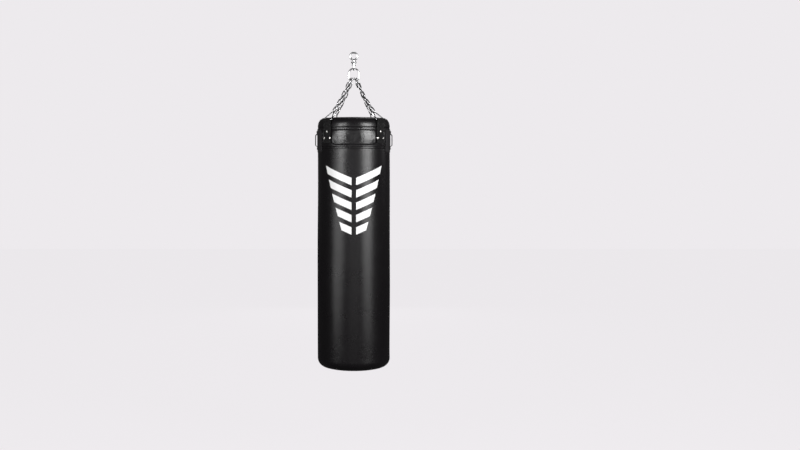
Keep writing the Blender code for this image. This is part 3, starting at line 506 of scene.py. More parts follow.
def makeCover(v):
    # profile of radius and height, with lumps on the wall, hollows along the seams and puckers beside them
    turn = np.linspace(0, 0.5 * np.pi, 26)
    topZ = rimZ - v["shoulderDrop"] * (1 - np.cos(turn))
    lowZ = baseZ + v["corner"] * (1 - np.sin(turn))
    wallZ = joined(np.linspace(topZ[-1], collarTop + 0.001, 26)[1:],
                   np.linspace(collarTop, collarBottom, 8),
                   np.linspace(collarBottom - 0.001, collarBottom - 0.04, 40),
                   np.linspace(collarBottom - 0.044, lowZ[0], 190)[:-1])
    radius = column(joined([0.001, lidRadius - 0.002], bagRadius - v["shoulder"] * (1 - np.sin(turn)),
                           np.full(len(wallZ), bagRadius), bagRadius - v["corner"] * (1 - np.cos(turn)),
                           [baseRadius - 0.002, 0.001]))
    z = column(joined([rimZ - v["underLid"]] * 2, topZ, wallZ, lowZ, [baseZ + 0.004] * 2))
    angle = circle(v["columns"])[None, :]
    c, s = np.cos(angle), np.sin(angle)
    onWall = (smoothStep(collarBottom - z, 0.0, 0.08)
              * (1 - smoothStep(baseZ + v["corner"] * 1.6 - z, 0, v["corner"])))
    lump = waves(4, 9, c * 3.2, s * 3.2, z * 6) * v["lump"] * onWall
    for drop, depth, reach in v["grooves"]:
        lump = lump + depth * np.exp(-((z - rimZ + drop) / reach) ** 2)
    beside = np.exp(-np.abs(z - collarBottom) / v["puckerReach"]) * (z < collarBottom)
    atSeam, atRim = (np.exp(-np.abs(z - at) / v["shoulderReach"]) for at in (collarTop, rimZ - 0.004))
    uneven = 0.8 + 0.8 * waves(9, 7, c * 6, s * 6)
    ripple = np.cos(angle * v["puckers"] + 4 * waves(3, 6, c * 5, s * 5)) * uneven
    pucker = ripple * v["pucker"] * (beside + (atSeam + 0.5 * atRim) * (z > collarTop) * 0.5)
    moved = np.where(radius > lidRadius - 0.001, radius + lump + pucker, radius)
    piece = addPiece("bagCover", turned(moved, z, v["columns"]), coverVinyl)
    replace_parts(piece, "outer_cover", "textile_filling")
    return z[:, 0], moved[:, v["columns"] // 4]


hem = {"fold": 0.0009, "sunk": 0.0006, "lift": 0.25, "sway": 0.0004, "pressed": 0.9, "soft": 0.008,
       "columns": 480}
hems = {
    # name: drops and height of the flat hem, what presses it, and how far either side
    "upperHem": (0.0479, 0.0529, 0.0021, corners, 0.025),
    "lowerHem": (0.1400, 0.1447, 0.0013, sides, 0.094),
}


def makeHem(name, top, end, proud, pressed, half, v=hem):
    # a flat folded hem round the bag, pressed in where straps or patches cross it
    angle = circle(v["columns"])[None, :]
    section = roundedBox(0, proud, -end, -top, (0.0005, v["fold"], v["fold"], 0.0005), 4)
    out, up = section[:, :1], section[:, 1:]
    flat = 1 - v["pressed"] * nearAzimuth(angle, pressed.values(), half, v["soft"])
    c, s = np.cos(angle), np.sin(angle)
    lift = 1 + v["lift"] * waves(13, 6, c * 14, s * 14)
    radius = bagRadius - v["sunk"] + out * flat * lift + v["sunk"] * (out > 0)
    height = rimZ + up + waves(12, 6, c * 5, s * 5) * v["sway"]
    addPiece(name, turned(radius, height, v["columns"], closedRing), collarVinyl)


# Collar: a wide vinyl band that swells between its two sewn edges and is held flat under straps and handles
puff = {
    "frames": 16,
    "grow": 0.005,
    "press": 6.0,
    "out": (-0.0012, 0.0026),  # how far the cloth may move out
    "down": 0.002,  # and up or down
    "cloth": {"quality": 6, "mass": 0.25, "tension_stiffness": 18, "compression_stiffness": 18,
              "shear_stiffness": 6, "bending_stiffness": 1.6, "use_pressure": True, "pressure_factor": 0},
}
collar = {
    "rows": 40,
    "columns": 420,
    "base": 0.0006,  # of the flat hem, off the wall
    "hem": 0.0046,  # its height
    "step": 0.0022,
    "puff": 0.0016,
    "wrinkle": 0.00022,
    "swellReach": 0.032,
    "swellPower": 0.7,
    "clothShare": 0.35,  # of the puff, where the cloth adds the rest
    "ripple": 0.0003,
    "rippleReach": 0.009,
    "ripples": 96,  # round the bag
    "rise": 0.0036,  # the padding is thicker beside a strap than between two
    "riseFrom": 0.13,  # radians from the strap's middle
    "riseReach": 0.5,
    "strapHalf": 0.0225,  # pressed flat to either side of a strap's middle, and how softly
    "strapSoft": 0.007,
    "patchMargin": 0.011,
    "patchSoft": 0.008,
    "press": 0.03,  # how much wider a strap presses at its end
    "edge": 0.0006,  # half height of its round edges
    "inside": 0.0003,  # its back, off the wall
}
patch = {
    "half": 0.092, "top": 0.0555, "end": 0.162, "corner": 0.012, "thickness": 0.0012,
    "off": 0.0003,  # clear of the wall
    "collarOff": 0.0013,  # and further out over the collar
    "dent": 0.0002,
    "crease": 0.0004,
    "stitchIn": 0.0045,
    "stitchPitch": 0.0048,
    "stitch": 0.0034,
}


def swollen(points, held, v):
    # cloth sewn down where held is 1 and blown out between; returns the settled points
    rows, columns = points.shape[:2]
    mesh = bpy.data.meshes.new("collarCloth")
    mesh.from_pydata(points.reshape(-1, 3).tolist(), [], tubeFaces(rows, columns)[-3::-1])
    mesh.flip_normals()
    sheet = newObject("collarCloth", mesh)
    group = sheet.vertex_groups.new(name="held")
    levels = np.round(held.ravel(), 1)
    for level in np.unique(levels[levels > 0]):
        group.add(np.flatnonzero(levels == level).tolist(), float(level), "REPLACE")
    cloth = sheet.modifiers.new("cloth", "CLOTH")
    for key, value in v["cloth"].items():
        setattr(cloth.settings, key, value)
    cloth.settings.vertex_group_mass = "held"
    cloth.settings.shrink_min = -v["grow"]
    cloth.settings.uniform_pressure_force = v["press"]
    cloth.settings.effector_weights.gravity = 0
    cloth.collision_settings.use_collision = False
    cloth.point_cache.frame_end = v["frames"]
    for frameNumber in range(1, v["frames"] + 1):
        bpy.context.scene.frame_set(frameNumber)
    moved = meshPoints(sheet.evaluated_get(bpy.context.evaluated_depsgraph_get()).data).reshape(points.shape)
    bpy.context.scene.frame_set(1)
    bpy.data.objects.remove(sheet)
    before, after = np.hypot(points[..., 0], points[..., 1]), np.hypot(moved[..., 0], moved[..., 1])
    out = after - before
    print("collar cloth moved out", out.min().round(5), "to", out.max().round(5))
    down = np.clip(moved[..., 2] - points[..., 2], -v["down"], v["down"])
    around = np.arctan2(moved[..., 1], moved[..., 0])
    return polar(before + np.clip(out, *v["out"]), around, points[..., 2] + down)


def makeCollar(v):
    # outer radius: a flat hem, a small step, then a broad swell that straps and patches press flat
    share = column(np.linspace(0, 1, v["rows"]))
    z = collarTop + (collarBottom - collarTop) * share
    angle = circle(v["columns"])[None, :]
    c, s = np.cos(angle), np.sin(angle)
    wide = v["strapHalf"] + v["press"] * smoothStep(share, 0.72, 1.0) ** 2
    held = np.maximum(nearAzimuth(angle, corners.values(), wide, v["strapSoft"]),
                      nearAzimuth(angle, sides.values(), patch["half"] + v["patchMargin"], v["patchSoft"]))
    depth = np.minimum(z - collarBottom, collarTop - z)
    step = smoothStep(depth, v["hem"] * 0.8, v["hem"] * 1.3)
    swell = smoothStep(depth, v["hem"], v["swellReach"]) ** v["swellPower"]
    folds = waves(21, 8, c * 7, s * 7, z * 70) * v["wrinkle"]
    ripple = np.cos(angle * v["ripples"] + 2 * waves(8, 4, c * 4, s * 4)) * v["ripple"]
    ripple = ripple * np.exp(-depth / v["rippleReach"])
    gap = np.min([turnApart(angle, azimuth) for azimuth in corners.values()], 0)
    rise = v["rise"] * np.clip(1 - (gap - v["riseFrom"]) / v["riseReach"], 0, 1) ** 2
    free = v["puff"] * v["clothShare"] + folds + rise
    outer = bagRadius + v["base"] + v["step"] * step * (1 - 0.7 * held) + (free * swell + ripple) * (1 - held)
    skin = polar(outer, angle, z)
    sewn = np.maximum(held, 1 - smoothStep(depth, v["hem"], v["hem"] * 1.6))
    skin = swollen(skin, sewn, puff)
    turn = column(np.linspace(0, np.pi, 7)[1:-1])
    inner = bagRadius + v["inside"]

    def edge(ring, sign):  # half a round edge from a row of the skin to the inner radius
        reach = np.hypot(ring[:, 0], ring[:, 1])
        return polar((reach + inner) / 2 + (reach - inner) / 2 * np.cos(turn), angle,
                     ring[:, 2] + sign * v["edge"] * np.sin(turn))

    back = polar(inner, angle, column([collarBottom, collarTop]))
    points = joined(skin, edge(skin[-1], -1), back, edge(skin[0], 1)[::-1])
    piece = addPiece("collarBand", closedRing(points), collarVinyl)
    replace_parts(piece, "collar_band")
    return np.hypot(skin[..., 0], skin[..., 1]), z[:, 0], angle[0]


# Stitches: short capsules of thread, rings of six points
thread = {
    "radius": 0.00042,
    "at": (-1, -0.93, -0.7, -0.2, 0.2, 0.7, 0.93, 1),  # places along a stitch
    "fat": (0.15, 0.55, 0.95, 1, 1, 0.95, 0.55, 0.15),  # and how thick it is there
    "sink": 0.6,  # its ends dip into the skin
}


def threadRow(name, spots, alongs, outs, length, radius=thread["radius"], v=thread):
    # one stitch at each spot, lying along and facing out
    t, fat = column(v["at"])[None], column(v["fat"])[None]
    turn = circle(6)[None, None, :, None]
    spots, alongs, outs = (np.broadcast_to(a, spots.shape)[:, None] for a in (spots, alongs, outs))
    centre = spots + alongs * t * length / 2 - outs * t ** 4 * v["sink"] * radius
    ring = outs[:, None] * np.cos(turn) + np.cross(alongs, outs)[:, None] * np.sin(turn)
    addPiece(name, manyTubes(centre[:, :, None] + ring * (radius * fat)[..., None]), darkThread)


def stitchRing(name, radiusAt, z, skip, pitch=0.0048):
    # a row of stitches round the bag at a height, left out under straps
    count = int(2 * np.pi * collarRadius / pitch)
    angle = (np.arange(count) + 0.5) * 2 * np.pi / count
    angle = angle[nearAzimuth(angle, skip, 0.026, 0.001) < 0.5]
    threadRow(name, polar(radiusAt(angle), angle, z), polar(1, angle + np.pi / 2, 0), polar(1, angle, 0),
              pitch * 0.72)


wallHeight, backRadius = makeCover(cover)
for name, facts in hems.items():
    makeHem(name, *facts)
collarOuter, collarZ, collarAngle = makeCollar(collar)
for number, drop in enumerate((0.0026, 0.019, collarTop - collarBottom - 0.0026)):
    outerRow = collarOuter[int(np.argmin(np.abs(collarZ - (collarTop - drop))))]
    stitchRing(f"collarStitches{number + 1}", lambda angle: np.interp(
        angle % (2 * np.pi), collarAngle, outerRow, period=2 * np.pi), collarTop - drop, corners.values())


def makePatch(name, azimuth, v):
    # a backing panel under a handle: a rounded rectangle laid on the collar and on the wall below it
    outline = roundedBox(-v["half"], v["half"], v["top"], v["end"], v["corner"], 8, 0.004)
    middle = np.array((0, (v["top"] + v["end"]) / 2))

    def wall(drop):  # the radius that the patch lies on, lower below the collar
        low = rimZ - collarBottom
        return bagRadius + v["off"] + v["collarOff"] * (1 - smoothStep(drop, low - 0.001, low + 0.007))

    inward = np.linspace(0.93, 0.02, 26)
    shares = column(joined(inward[::-1], [1, 1, 1, 0.992, 0.97], inward))
    lifts = column(joined(np.full(27, -0.15), [0.2, 0.6, 0.9, 1], np.ones(26)))
    x, drop = np.moveaxis(middle + (outline - middle) * shares[..., None], -1, 0)
    dents = waves(70 + azimuth, 6, x * 60, drop * 70) * v["dent"] * (shares < 0.9)
    crease = v["crease"] * np.exp(-((shares - 0.955) / 0.008) ** 2)
    outer = wall(drop) + lifts * v["thickness"] + (dents - crease) * (lifts > 0)
    skin = polar(outer, math.radians(azimuth) + x / collarRadius, rimZ - drop)
    addPiece("handlePatch_" + name, capped(skin), patchVinyl)
    line = outline - middle
    line = middle + line * (1 - v["stitchIn"] / np.abs(line).max(0))
    closed = joined(line, line[:1])
    long = lengthsAlong(closed)[-1]
    x, drop = lineAt(closed, np.linspace(0, long, int(long / v["stitchPitch"]), endpoint=False)).T
    turn = math.radians(azimuth) + x / collarRadius
    spots = polar(wall(drop) + v["thickness"], turn, rimZ - drop)
    threadRow("patchStitches_" + name, spots, unit(np.roll(spots, -1, 0) - np.roll(spots, 1, 0)),
              polar(1, turn, 0), v["stitch"])


print("cover, collar and seams made")


# Bottom panel with its piping, and the lid with its two flaps either side of the zip
lid = {
    "zipHalf": 0.013,  # from the zip's middle to each flap's folded edge
    "zipEnd": 0.115,
    "fold": 0.0012,  # rise of the folded edge
    "rolled": 0.0014,  # drop of its rolled edge
    "crown": 0.0035,
    "slack": 0.0009,
    "thickness": 0.0022,
    "columns": 120,
    "rows": 40,
    "flapStitches": 46,
    "flapStitchIn": 0.0052,
    "rimStitches": 92,
    "rimStitchIn": 0.0065,
    "thread": 0.00045,
}
base = {"sag": 0.0016, "roll": 0.0015, "rollHeight": 0.0008, "dent": 0.0006, "columns": 128}
piping = {
    # name: radius of its middle, height and thickness
    "basePiping": (baseRadius + 0.0008, baseZ + 0.0006, 0.0018),
    "lidPiping": (lidRadius + 0.0004, rimZ + 0.0002, 0.0019),
}


def makePiping(name, radius, height, wire):
    turn = circle(12)
    ring = turned(radius + wire * np.cos(turn), height + wire * np.sin(turn), makeShape=closedRing)
    addPiece(name, ring, plainVinyl)


def makeBase(v):
    # a slightly sagging disc with a rolled rim
    roll = np.linspace(0, np.pi, 7)
    edge = baseRadius - 2 * v["roll"]
    disc = joined([0.001], np.linspace(0.01, edge, 26))
    radius = column(joined(disc, edge + v["roll"] * (1 + np.sin(roll)), [edge, 0.001]))
    height = baseZ + joined(0.0004 - v["sag"] * (1 - (disc / baseRadius) ** 2),
                            0.0012 - v["rollHeight"] * np.cos(roll), [0.0034] * 2)
    angle = circle(v["columns"])[None, :]
    dents = waves(5, 7, radius * np.cos(angle) * 45, radius * np.sin(angle) * 45)
    height = column(height) + dents * v["dent"] * smoothStep(baseRadius - radius, 0.0, 0.02)
    piece = addPiece("basePanel", turned(radius, height, v["columns"]), plainVinyl)
    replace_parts(piece, "base_panel")


def lidHeight(x, y, near, side, v):
    # height of a flap: a slack crown, a raised fold beside the zip and its rolled edge
    reach = np.hypot(x, y) / lidRadius
    crown = v["crown"] * (1 - reach ** 2) * smoothStep(1 - reach, 0, 0.12)
    slack = waves(30 + side, 8, x * 38, y * 38) * v["slack"] * smoothStep(1 - reach, 0.02, 0.3)
    fold = v["fold"] * np.exp(-((y - near) / 0.005) ** 2) - v["rolled"] * smoothStep(near - y, -0.0025, 0)
    return rimZ + crown + slack + fold * (near > 0.002)


def makeLid(v):
    # each flap runs from its folded edge beside the zip out to the rim; x across the bag, y outwards
    x = column(np.sin(np.linspace(-0.5, 0.5, v["columns"]) * np.pi) * (lidRadius - 0.0015))
    far = np.sqrt(np.maximum(lidRadius ** 2 - x ** 2, 0)) - 0.0003
    near = v["zipHalf"] * (1 - smoothStep(np.abs(x), v["zipEnd"], v["zipEnd"] + 0.004)) + 0.0002
    near = np.minimum(near, far - 0.001)
    y = near + (far - near) * np.linspace(0, 1, v["rows"])[None, :] ** 1.3
    flaps = []
    for side in (1, -1):
        top = lidHeight(x, y, near, side, v)
        upper, lower = (asPoints(x, y * side, z)
                        for z in (top, np.minimum(top - v["thickness"], rimZ - 0.002)))
        flaps.append(capped(np.concatenate((upper, lower[:, ::-1]), 1)))
    piece = addPiece("topLid", joinParts(*flaps), plainVinyl)
    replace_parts(piece, "top_lid")


def sewLid(v):
    # stitches along each fold and round the rim
    count = v["flapStitches"]
    x = (np.arange(count) + 0.5 - count / 2) * 2 * v["zipEnd"] / count * 0.97
    y = np.full(count, v["zipHalf"] + v["flapStitchIn"])
    turn = (np.arange(v["rimStitches"]) + 0.5) / v["rimStitches"] * np.pi
    rimX, rimY, _ = polar(lidRadius - v["rimStitchIn"], turn, 0).T
    for side in (1, -1):
        spots = asPoints(x, y * side, lidHeight(x, y, v["zipHalf"], side, v))
        threadRow(f"flapStitches{side + 2}", spots, np.array((1.0, 0, 0)), upwards, 0.0034, v["thread"])
        spots = asPoints(rimX, rimY * side, lidHeight(rimX, rimY, 0.0002, side, v))
        alongs = polar(1, turn + np.pi / 2, 0) * (1, side, 1)
        threadRow(f"lidStitches{side + 2}", spots, alongs, upwards, 0.0036, v["thread"])


makeBase(base)
makePiping("basePiping", *piping["basePiping"])
makeLid(lid)
sewLid(lid)
makePiping("lidPiping", *piping["lidPiping"])
print("lid and base made")


# Webbing straps and handles: a flat woven band along a line of radius and height
webbing = {
    "ply": 0.00235,
    "strapWidth": 0.048,
    "middle": 0.1796,  # radius between the strap's two plies
    "gap": 0.0003,
    "taper": 0.015,  # the plies close up over this length below the ring
    "curvedDrop": 0.05,  # the strap follows the wall below this
    "flatDrop": 0.026,  # and is flat above this
    "handleWidth": 0.04,
    "handlePly": 0.0026,
    "wear": 0.0002,  # unevenness of the weave
    "stitchPitch": 0.0046,
}
clearance = 0.0003             # between a handle or a rivet and what it lies on
strapStitches = {"edgeIn": 0.0038, "low": 0.004, "belowRing": 0.016, "square": 0.03}


def curved(z):  # a band's flatness at a height, where it follows the wall all the way
    return 0 * z


def flatTop(z, v=webbing):  # and where it comes away from the wall to meet its ring
    return np.clip((v["curvedDrop"] - (rimZ - z)) / (v["curvedDrop"] - v["flatDrop"]), 0, 1)


def evenLine(points, spacing):
    # the same line with evenly spaced points, its corners rounded by averaging
    for _ in range(2):
        long = lengthsAlong(points)[-1]
        points = lineAt(points, np.linspace(0, long, max(int(long / spacing), 8)))
        points[1:-1] = (points[:-2] + 2 * points[1:-1] + points[2:]) / 4
    return points


def bentRound(radius, across, z, azimuth, wrapRadius, flatShare):
    # points of a band at an azimuth, bent round the bag by their place across the width
    turn, share = across / wrapRadius, flatShare(z)
    outX = radius * (np.cos(turn) * (1 - share) + share)
    outY = radius * np.sin(turn) * (1 - share) + across * share
    return asPoints(outX, outY, z) @ np.stack((*towards(azimuth), upwards))


def bandPiece(name, line, azimuth, width, ply, flatShare=curved, seam=False, wear=webbing["wear"]):
    # a rounded flat section carried along the line, of webbing or as a vinyl seam
    along = unit(np.gradient(line, axis=0))
    half, edge = (width - ply) / 2, np.linspace(-0.5 * np.pi, 0.5 * np.pi, 7)
    across = joined(half + ply / 2 * np.cos(edge), np.linspace(half, -half, 17)[1:-1])
    off = joined(ply / 2 * np.sin(edge), np.full(15, ply / 2))
    across, off = joined(across, -across)[None, :], joined(off, -off)[None, :]
    ripple = waves(len(name), 5, line[:, 1:] * 160, across * 60) * wear
    radius, z = line[:, :1] + off * along[:, 1:] + ripple * 0.5, line[:, 1:] - off * along[:, :1]
    points = bentRound(radius, across, z, azimuth, bagRadius if seam else webbing["middle"], flatShare)
    uv = asPoints(column(lengthsAlong(line)), across)
    material, slot = (plainVinyl, "cover_vinyl") if seam else (strapWebbing, "webbing")
    return addPiece(name, capped(points), material, uv=uv)


def sewBand(name, line, off, rows, azimuth, flatShare=curved, pitch=webbing["stitchPitch"]):
    # rows of stitches off a band's middle, each from one (length, across) to another
    at, step = [], []
    for first, last in np.array(rows):
        long = np.linalg.norm(last - first)
        count = max(int(long / pitch), 1)
        at.append(first + (last - first) * column((np.arange(count) + 0.5) / count))
        step.append(np.broadcast_to((last - first) / long * 0.0008, (count, 2)))
    at, step = np.concatenate(at), np.concatenate(step)

    def onBand(at, off):
        here, ahead, behind = (lineAt(line, at[:, 0] + more) for more in (0, 0.001, -0.001))
        along = unit(ahead - behind)
        return bentRound(here[:, 0] + off * along[:, 1], at[:, 1], here[:, 1] - off * along[:, 0], azimuth,
                         webbing["middle"], flatShare)

    spots = onBand(at, off)
    alongs, outs = (unit(other - spots) for other in (onBand(at + step, off), onBand(at, off * 1.4)))
    threadRow(name, spots, alongs, outs, pitch * 0.7)


def strapLine(v, endZ, ringZ, ringWire):
    # up the outer ply, over the ring's base and down the inner ply
    loop, half = ringWire + v["gap"] + v["ply"] / 2, (v["gap"] + v["ply"]) / 2
    share = np.linspace(0, 1, 9)[:-1]
    swell = half + (loop - half) * smoothStep(share, 0, 1)
    outer = [(half, endZ), *zip(swell, ringZ - v["taper"] * (1 - share))]
    turn = np.linspace(0, np.pi, 13)
    fold = asPoints(loop * np.cos(turn), ringZ + loop * np.sin(turn))
    return evenLine(joined(outer, fold, np.array(outer[::-1]) * (-1, 1)) + (v["middle"], 0), 0.0011)


def ringFacts(name, azimuth):
    # the ring's wire radius, the middle of its base, its lean, height and width, from its node
    out, side = towards(azimuth)
    points = nodePoints("strap_ring_" + name)
    flat = points @ asPoints(out, upwards)
    centre = flat.mean(0)
    up = np.linalg.eigh(np.cov((flat - centre).T))[1][:, 1]
    up = up * np.sign(up[1])
    across = np.array((up[1], -up[0]))
    reach, lean = (flat - centre) @ up, (flat - centre) @ across
    wire = np.ptp(lean) / 2
    base = centre + up * (reach.min() + wire) + across * (lean.min() + wire)
    return {"wire": wire, "base": base @ (out, upwards), "up": up @ (out, upwards),
            "height": np.ptp(reach) - 2 * wire, "width": np.ptp(points @ side) - 2 * wire}


ringSizes = {name: ringFacts(name, azimuth) for name, azimuth in corners.items()}
seams = {
    "shoulder": {"azimuth": -107, "width": 0.0034, "ply": 0.0011},
    "back": {"azimuth": 90, "width": 0.0125, "ply": 0.0012, "stitchSide": 0.0036},
}


def makeShoulderSeam(v):
    # the lapped joint of the shoulder panel, down its elliptic profile
    turn = np.linspace(0.25, 0.5 * np.pi, 12)
    line = asPoints(bagRadius - cover["shoulder"] * (1 - np.sin(turn)) + 0.0002,
                    rimZ - cover["shoulderDrop"] * (1 - np.cos(turn)))
    line = joined(line, [(bagRadius + 0.0002, rimZ - 0.0405), (bagRadius - 0.0006, rimZ - 0.0475)])
    bandPiece("shoulderSeam", evenLine(line, 0.0012), **v, seam=True, wear=0.00005)


def makeBackSeam(v):
    # the cover's lapped joint down the back, following the wall's own unevenness
    z = np.arange(collarBottom - 0.0055, baseZ + cover["corner"], -0.004)
    line = asPoints(np.interp(z, wallHeight[::-1], backRadius[::-1]) + 0.0001, z)
    bandPiece("backSeam", line, v["azimuth"], v["width"], v["ply"], seam=True, wear=0.0001)
    ends = 0.004, z[0] - z[-1] - 0.004
    rows = [[(end, w) for end in ends] for w in (v["stitchSide"], -v["stitchSide"])]
    sewBand("backSeamStitches", line, -v["ply"] / 2, rows, v["azimuth"])


makeShoulderSeam(seams["shoulder"])
makeBackSeam(seams["back"])
for name, azimuth in corners.items():
    ringZ = ringSizes[name]["base"][2]
    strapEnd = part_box("hanging_strap_" + name)[0].z
    line = strapLine(webbing, strapEnd, ringZ, ringSizes[name]["wire"])
    piece = bandPiece("strap_" + name, line, azimuth, webbing["strapWidth"], webbing["ply"], flatTop)
    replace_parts(piece, "hanging_strap_" + name)
    # down both edges, across both ends, and a crossed square at the top
    edge, low = webbing["strapWidth"] / 2 - strapStitches["edgeIn"], strapStitches["low"]
    top = ringZ - strapEnd - strapStitches["belowRing"]
    box = top - strapStitches["square"]
    rows = [((low, edge), (top, edge)), ((low, -edge), (top, -edge))]
    rows += [((s, -edge), (s, edge)) for s in (low, top, box)]
    rows += [((box, -edge), (top, edge)), ((box, edge), (top, -edge))]
    sewBand("strapStitches_" + name, line, webbing["ply"] / 2, rows, azimuth, flatTop)


handle = {"foot": 0.013, "rise": 0.0085, "ramp": 0.01, "stitchEnds": (0.003, 0.0165), "edgeIn": 0.0034}


def handleLine(v, topZ, endZ):
    # flat on the collar, out along a ramp, down, and back in to the wall
    topR, endR = (radius + clearance + webbing["handlePly"] / 2 for radius in (collarRadius, bagRadius))
    band = topR - clearance + v["rise"]
    share = np.linspace(0, 1, 9)
    ease = smoothStep(share, 0, 1)
    down = asPoints(topR + (band - topR) * ease, topZ - v["foot"] - v["ramp"] * share)
    back = asPoints(band + (endR - band) * ease, endZ + v["foot"] + v["ramp"] * (1 - share))
    return evenLine(joined([(topR, topZ)], down, back, [(endR, endZ)]), 0.0013)


for name, azimuth in sides.items():
    makePatch(name, azimuth, patch)
    low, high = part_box("side_handle_" + name)
    line = handleLine(handle, high.z, low.z)
    piece = bandPiece("handle_" + name, line, azimuth, webbing["handleWidth"], webbing["handlePly"])
    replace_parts(piece, "side_handle_" + name)
    edge, long = webbing["handleWidth"] / 2 - handle["edgeIn"], lengthsAlong(line)[-1]
    first, second = handle["stitchEnds"]
    rows = [((first, w), (long - first, w)) for w in (edge, -edge)]
    rows += [((s, -edge), (s, edge)) for s in (first, second, long - second, long - first)]
    sewBand("handleStitches_" + name, line, -webbing["handlePly"] / 2, rows, azimuth)
print("straps and handles made")


# Rivets: domed heads on thin flanges, one above two on a strap, two at each end of a handle
rivet = {
    "head": 0.0054, "height": 0.0018, "shank": 0.002, "depth": 0.004,
    "strapSpots": ((0, 0.066), (-0.018, 0.097), (0.018, 0.097)),  # sideways and below the rim
    "handleSpots": ((-0.0105, 0.0645), (0.0105, 0.0645), (-0.0105, 0.1435), (0.0105, 0.1435)),
}


def makeRivets(name, azimuth, spots, seats, v):
    # each a profile of radius against distance from the bag's axis: shank, flange, groove and dome
    dome, parts = np.linspace(0.12, 0.5 * np.pi, 10), []
    radius = joined([v["shank"]] * 2, v["head"] * np.array((0.93, 1, 1, 0.93)),
                    v["head"] * 0.86 * np.cos(dome))
    radius[-1] = 0.00005
    for (shift, drop), seat in zip(spots, seats):
        reach = seat + clearance + joined(
            [bagRadius - v["depth"] - seat - clearance, 0, 0, 0.00015, 0.0004, 0.00055],
            0.0005 + (v["height"] - 0.0005) * np.sin(dome))
        outward, sideways = towards(azimuth + math.degrees(shift / webbing["middle"]))
        local = polar(column(radius), circle(22)[None, :], column(reach))
        parts.append(capped(local @ (sideways, upwards, outward) + upwards * (rimZ - drop)))
    return addPiece(name, joinParts(*parts), rivetNickel)


strapFace = webbing["middle"] + webbing["gap"] / 2 + webbing["ply"]
for name, azimuth in corners.items():
    piece = makeRivets("rivets_" + name, azimuth, rivet["strapSpots"], [strapFace] * 3, rivet)
    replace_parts(piece, "strap_rivets_" + name)
seats = [radius + clearance + webbing["handlePly"] for radius in [collarRadius] * 2 + [bagRadius] * 2]
for name, azimuth in sides.items():
    piece = makeRivets("handleRivets_" + name, azimuth, rivet["handleSpots"], seats, rivet)
    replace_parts(piece, "handle_rivets_" + name)
print("rivets made")


# Chains and strap rings of round wire, each placed by its node's points
chain = {"weld": 0.13, "weldReach": 0.0016}
ringBend = {"tip": 0.0055, "base": 0.004}


def makeLink(name, v):
    # its own axes are those of its points' spread: normal, short and long
    points = nodePoints(name)
    axes = np.linalg.eigh(np.cov((points - points.mean(0)).T))[1]
    low, high = (points @ axes).min(0), (points @ axes).max(0)
    wire, short, long = (high - low) / 2
    bend = short - wire
    path = roundedBox(wire - long, long - wire, -bend, bend, bend * 0.999, 9, 0.0022)
    fat = 1 + v["weld"] * np.exp(-((path[:, 0] / v["weldReach"]) ** 2)) * (path[:, 1] > 0)
    line = axes @ (low + high) / 2 + path @ (axes[:, 2], axes[:, 1])
    piece = addPiece(name.replace("chain_", "link_").replace("_link", ""),
                     wireAlong(line, axes[:, 0], wire * fat), linkSteel)
    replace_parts(piece, name)


def makeStrapRing(name, azimuth, facts, v):
    # rounded triangle of wire: straight base in the strap's fold, its tip in the last link
    half, height = facts["width"] / 2, facts["height"]
    tip, wider = height, half
    for _ in range(20):
        tip = height - v["tip"] + v["tip"] * math.hypot(half, tip) / half
    for _ in range(20):   # the corner's outer reach equals the node's half width
        wider = half - v["base"] + v["base"] / math.tan(math.atan2(tip, wider) / 2)
    path = roundedPath([(-wider, 0, v["base"]), (wider, 0, v["base"]), (0, tip, v["tip"])], 10, 0.0026)
    side, up = towards(azimuth)[1], facts["up"]
    shape = wireAlong(facts["base"] + path @ (side, up), np.cross(side, up), facts["wire"], 16)
    piece = addPiece("strapRing_" + name, shape, linkSteel)
    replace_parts(piece, "strap_ring_" + name)


for name in corners:
    for number in range(1, 9):
        makeLink(f"chain_{name}_link_{number}", chain)
for name, azimuth in corners.items():
    makeStrapRing(name, azimuth, ringSizes[name], ringBend)
print("chains and rings made")


# Master link and swivel
swivel = {
    "masterCorner": 0.006,
    "eyeWire": 0.0045,
    "stirrupWire": 0.004,
    "free": 0.0003,  # clear of the bearing's faces
    "stemRadii": (0.0005, 0.0068, 0.008, 0.008, 0.0074, 0.005, 0.005, 0.0084, 0.009, 0.009, 0.0072, 0.0005),
    "bossRadii": (0.0005, 0.0118, 0.013, 0.013, 0.0118, 0.0005),
    "bossBevel": 0.0012,
    "stirrupCorners": (0.012, 0.012, 0.006, 0.006),
    "bearingBore": 0.0053,
    "voxel": 0.0006,  # of the skin that joins a forging's parts
}


def uprightWire(path, across, radius, sectionSteps=20):
    # wire along a flat path, its first coordinate along a level axis and its second up
    return wireAlong(path @ (across, upwards), np.abs(np.cross(across, upwards)), radius, sectionSteps)


def makeMaster(v):
    low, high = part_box("master_link")
    wire = (high.y - low.y) / 2
    half = high.x - wire
    radii = (v["masterCorner"],) * 2 + (half * 0.998,) * 2
    path = roundedBox(-half, half, low.z + wire, high.z - wire, radii, 18, 0.002)
    piece = addPiece("masterLink", uprightWire(path, (1.0, 0, 0), wire), forgedSteel, "master")
    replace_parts(piece, "master_link")


def forged(name, parts, body, v):
    # melts overlapping closed shapes into one skin with rounded inner corners
    piece = addPiece(name, joinParts(*parts), forgedSteel, body)
    melt = piece.modifiers.new("melt", "REMESH")
    melt.mode = "VOXEL"
    melt.voxel_size = v["voxel"]
    piece.modifiers.new("ease", "SMOOTH").iterations = 5
    mesh = bpy.data.meshes.new_from_object(piece.evaluated_get(bpy.context.evaluated_depsgraph_get()))
    piece.modifiers.clear()
    piece.data = mesh
    mesh.materials.clear()
    mesh.materials.append(forgedSteel)
    mesh.shade_smooth()
    return piece


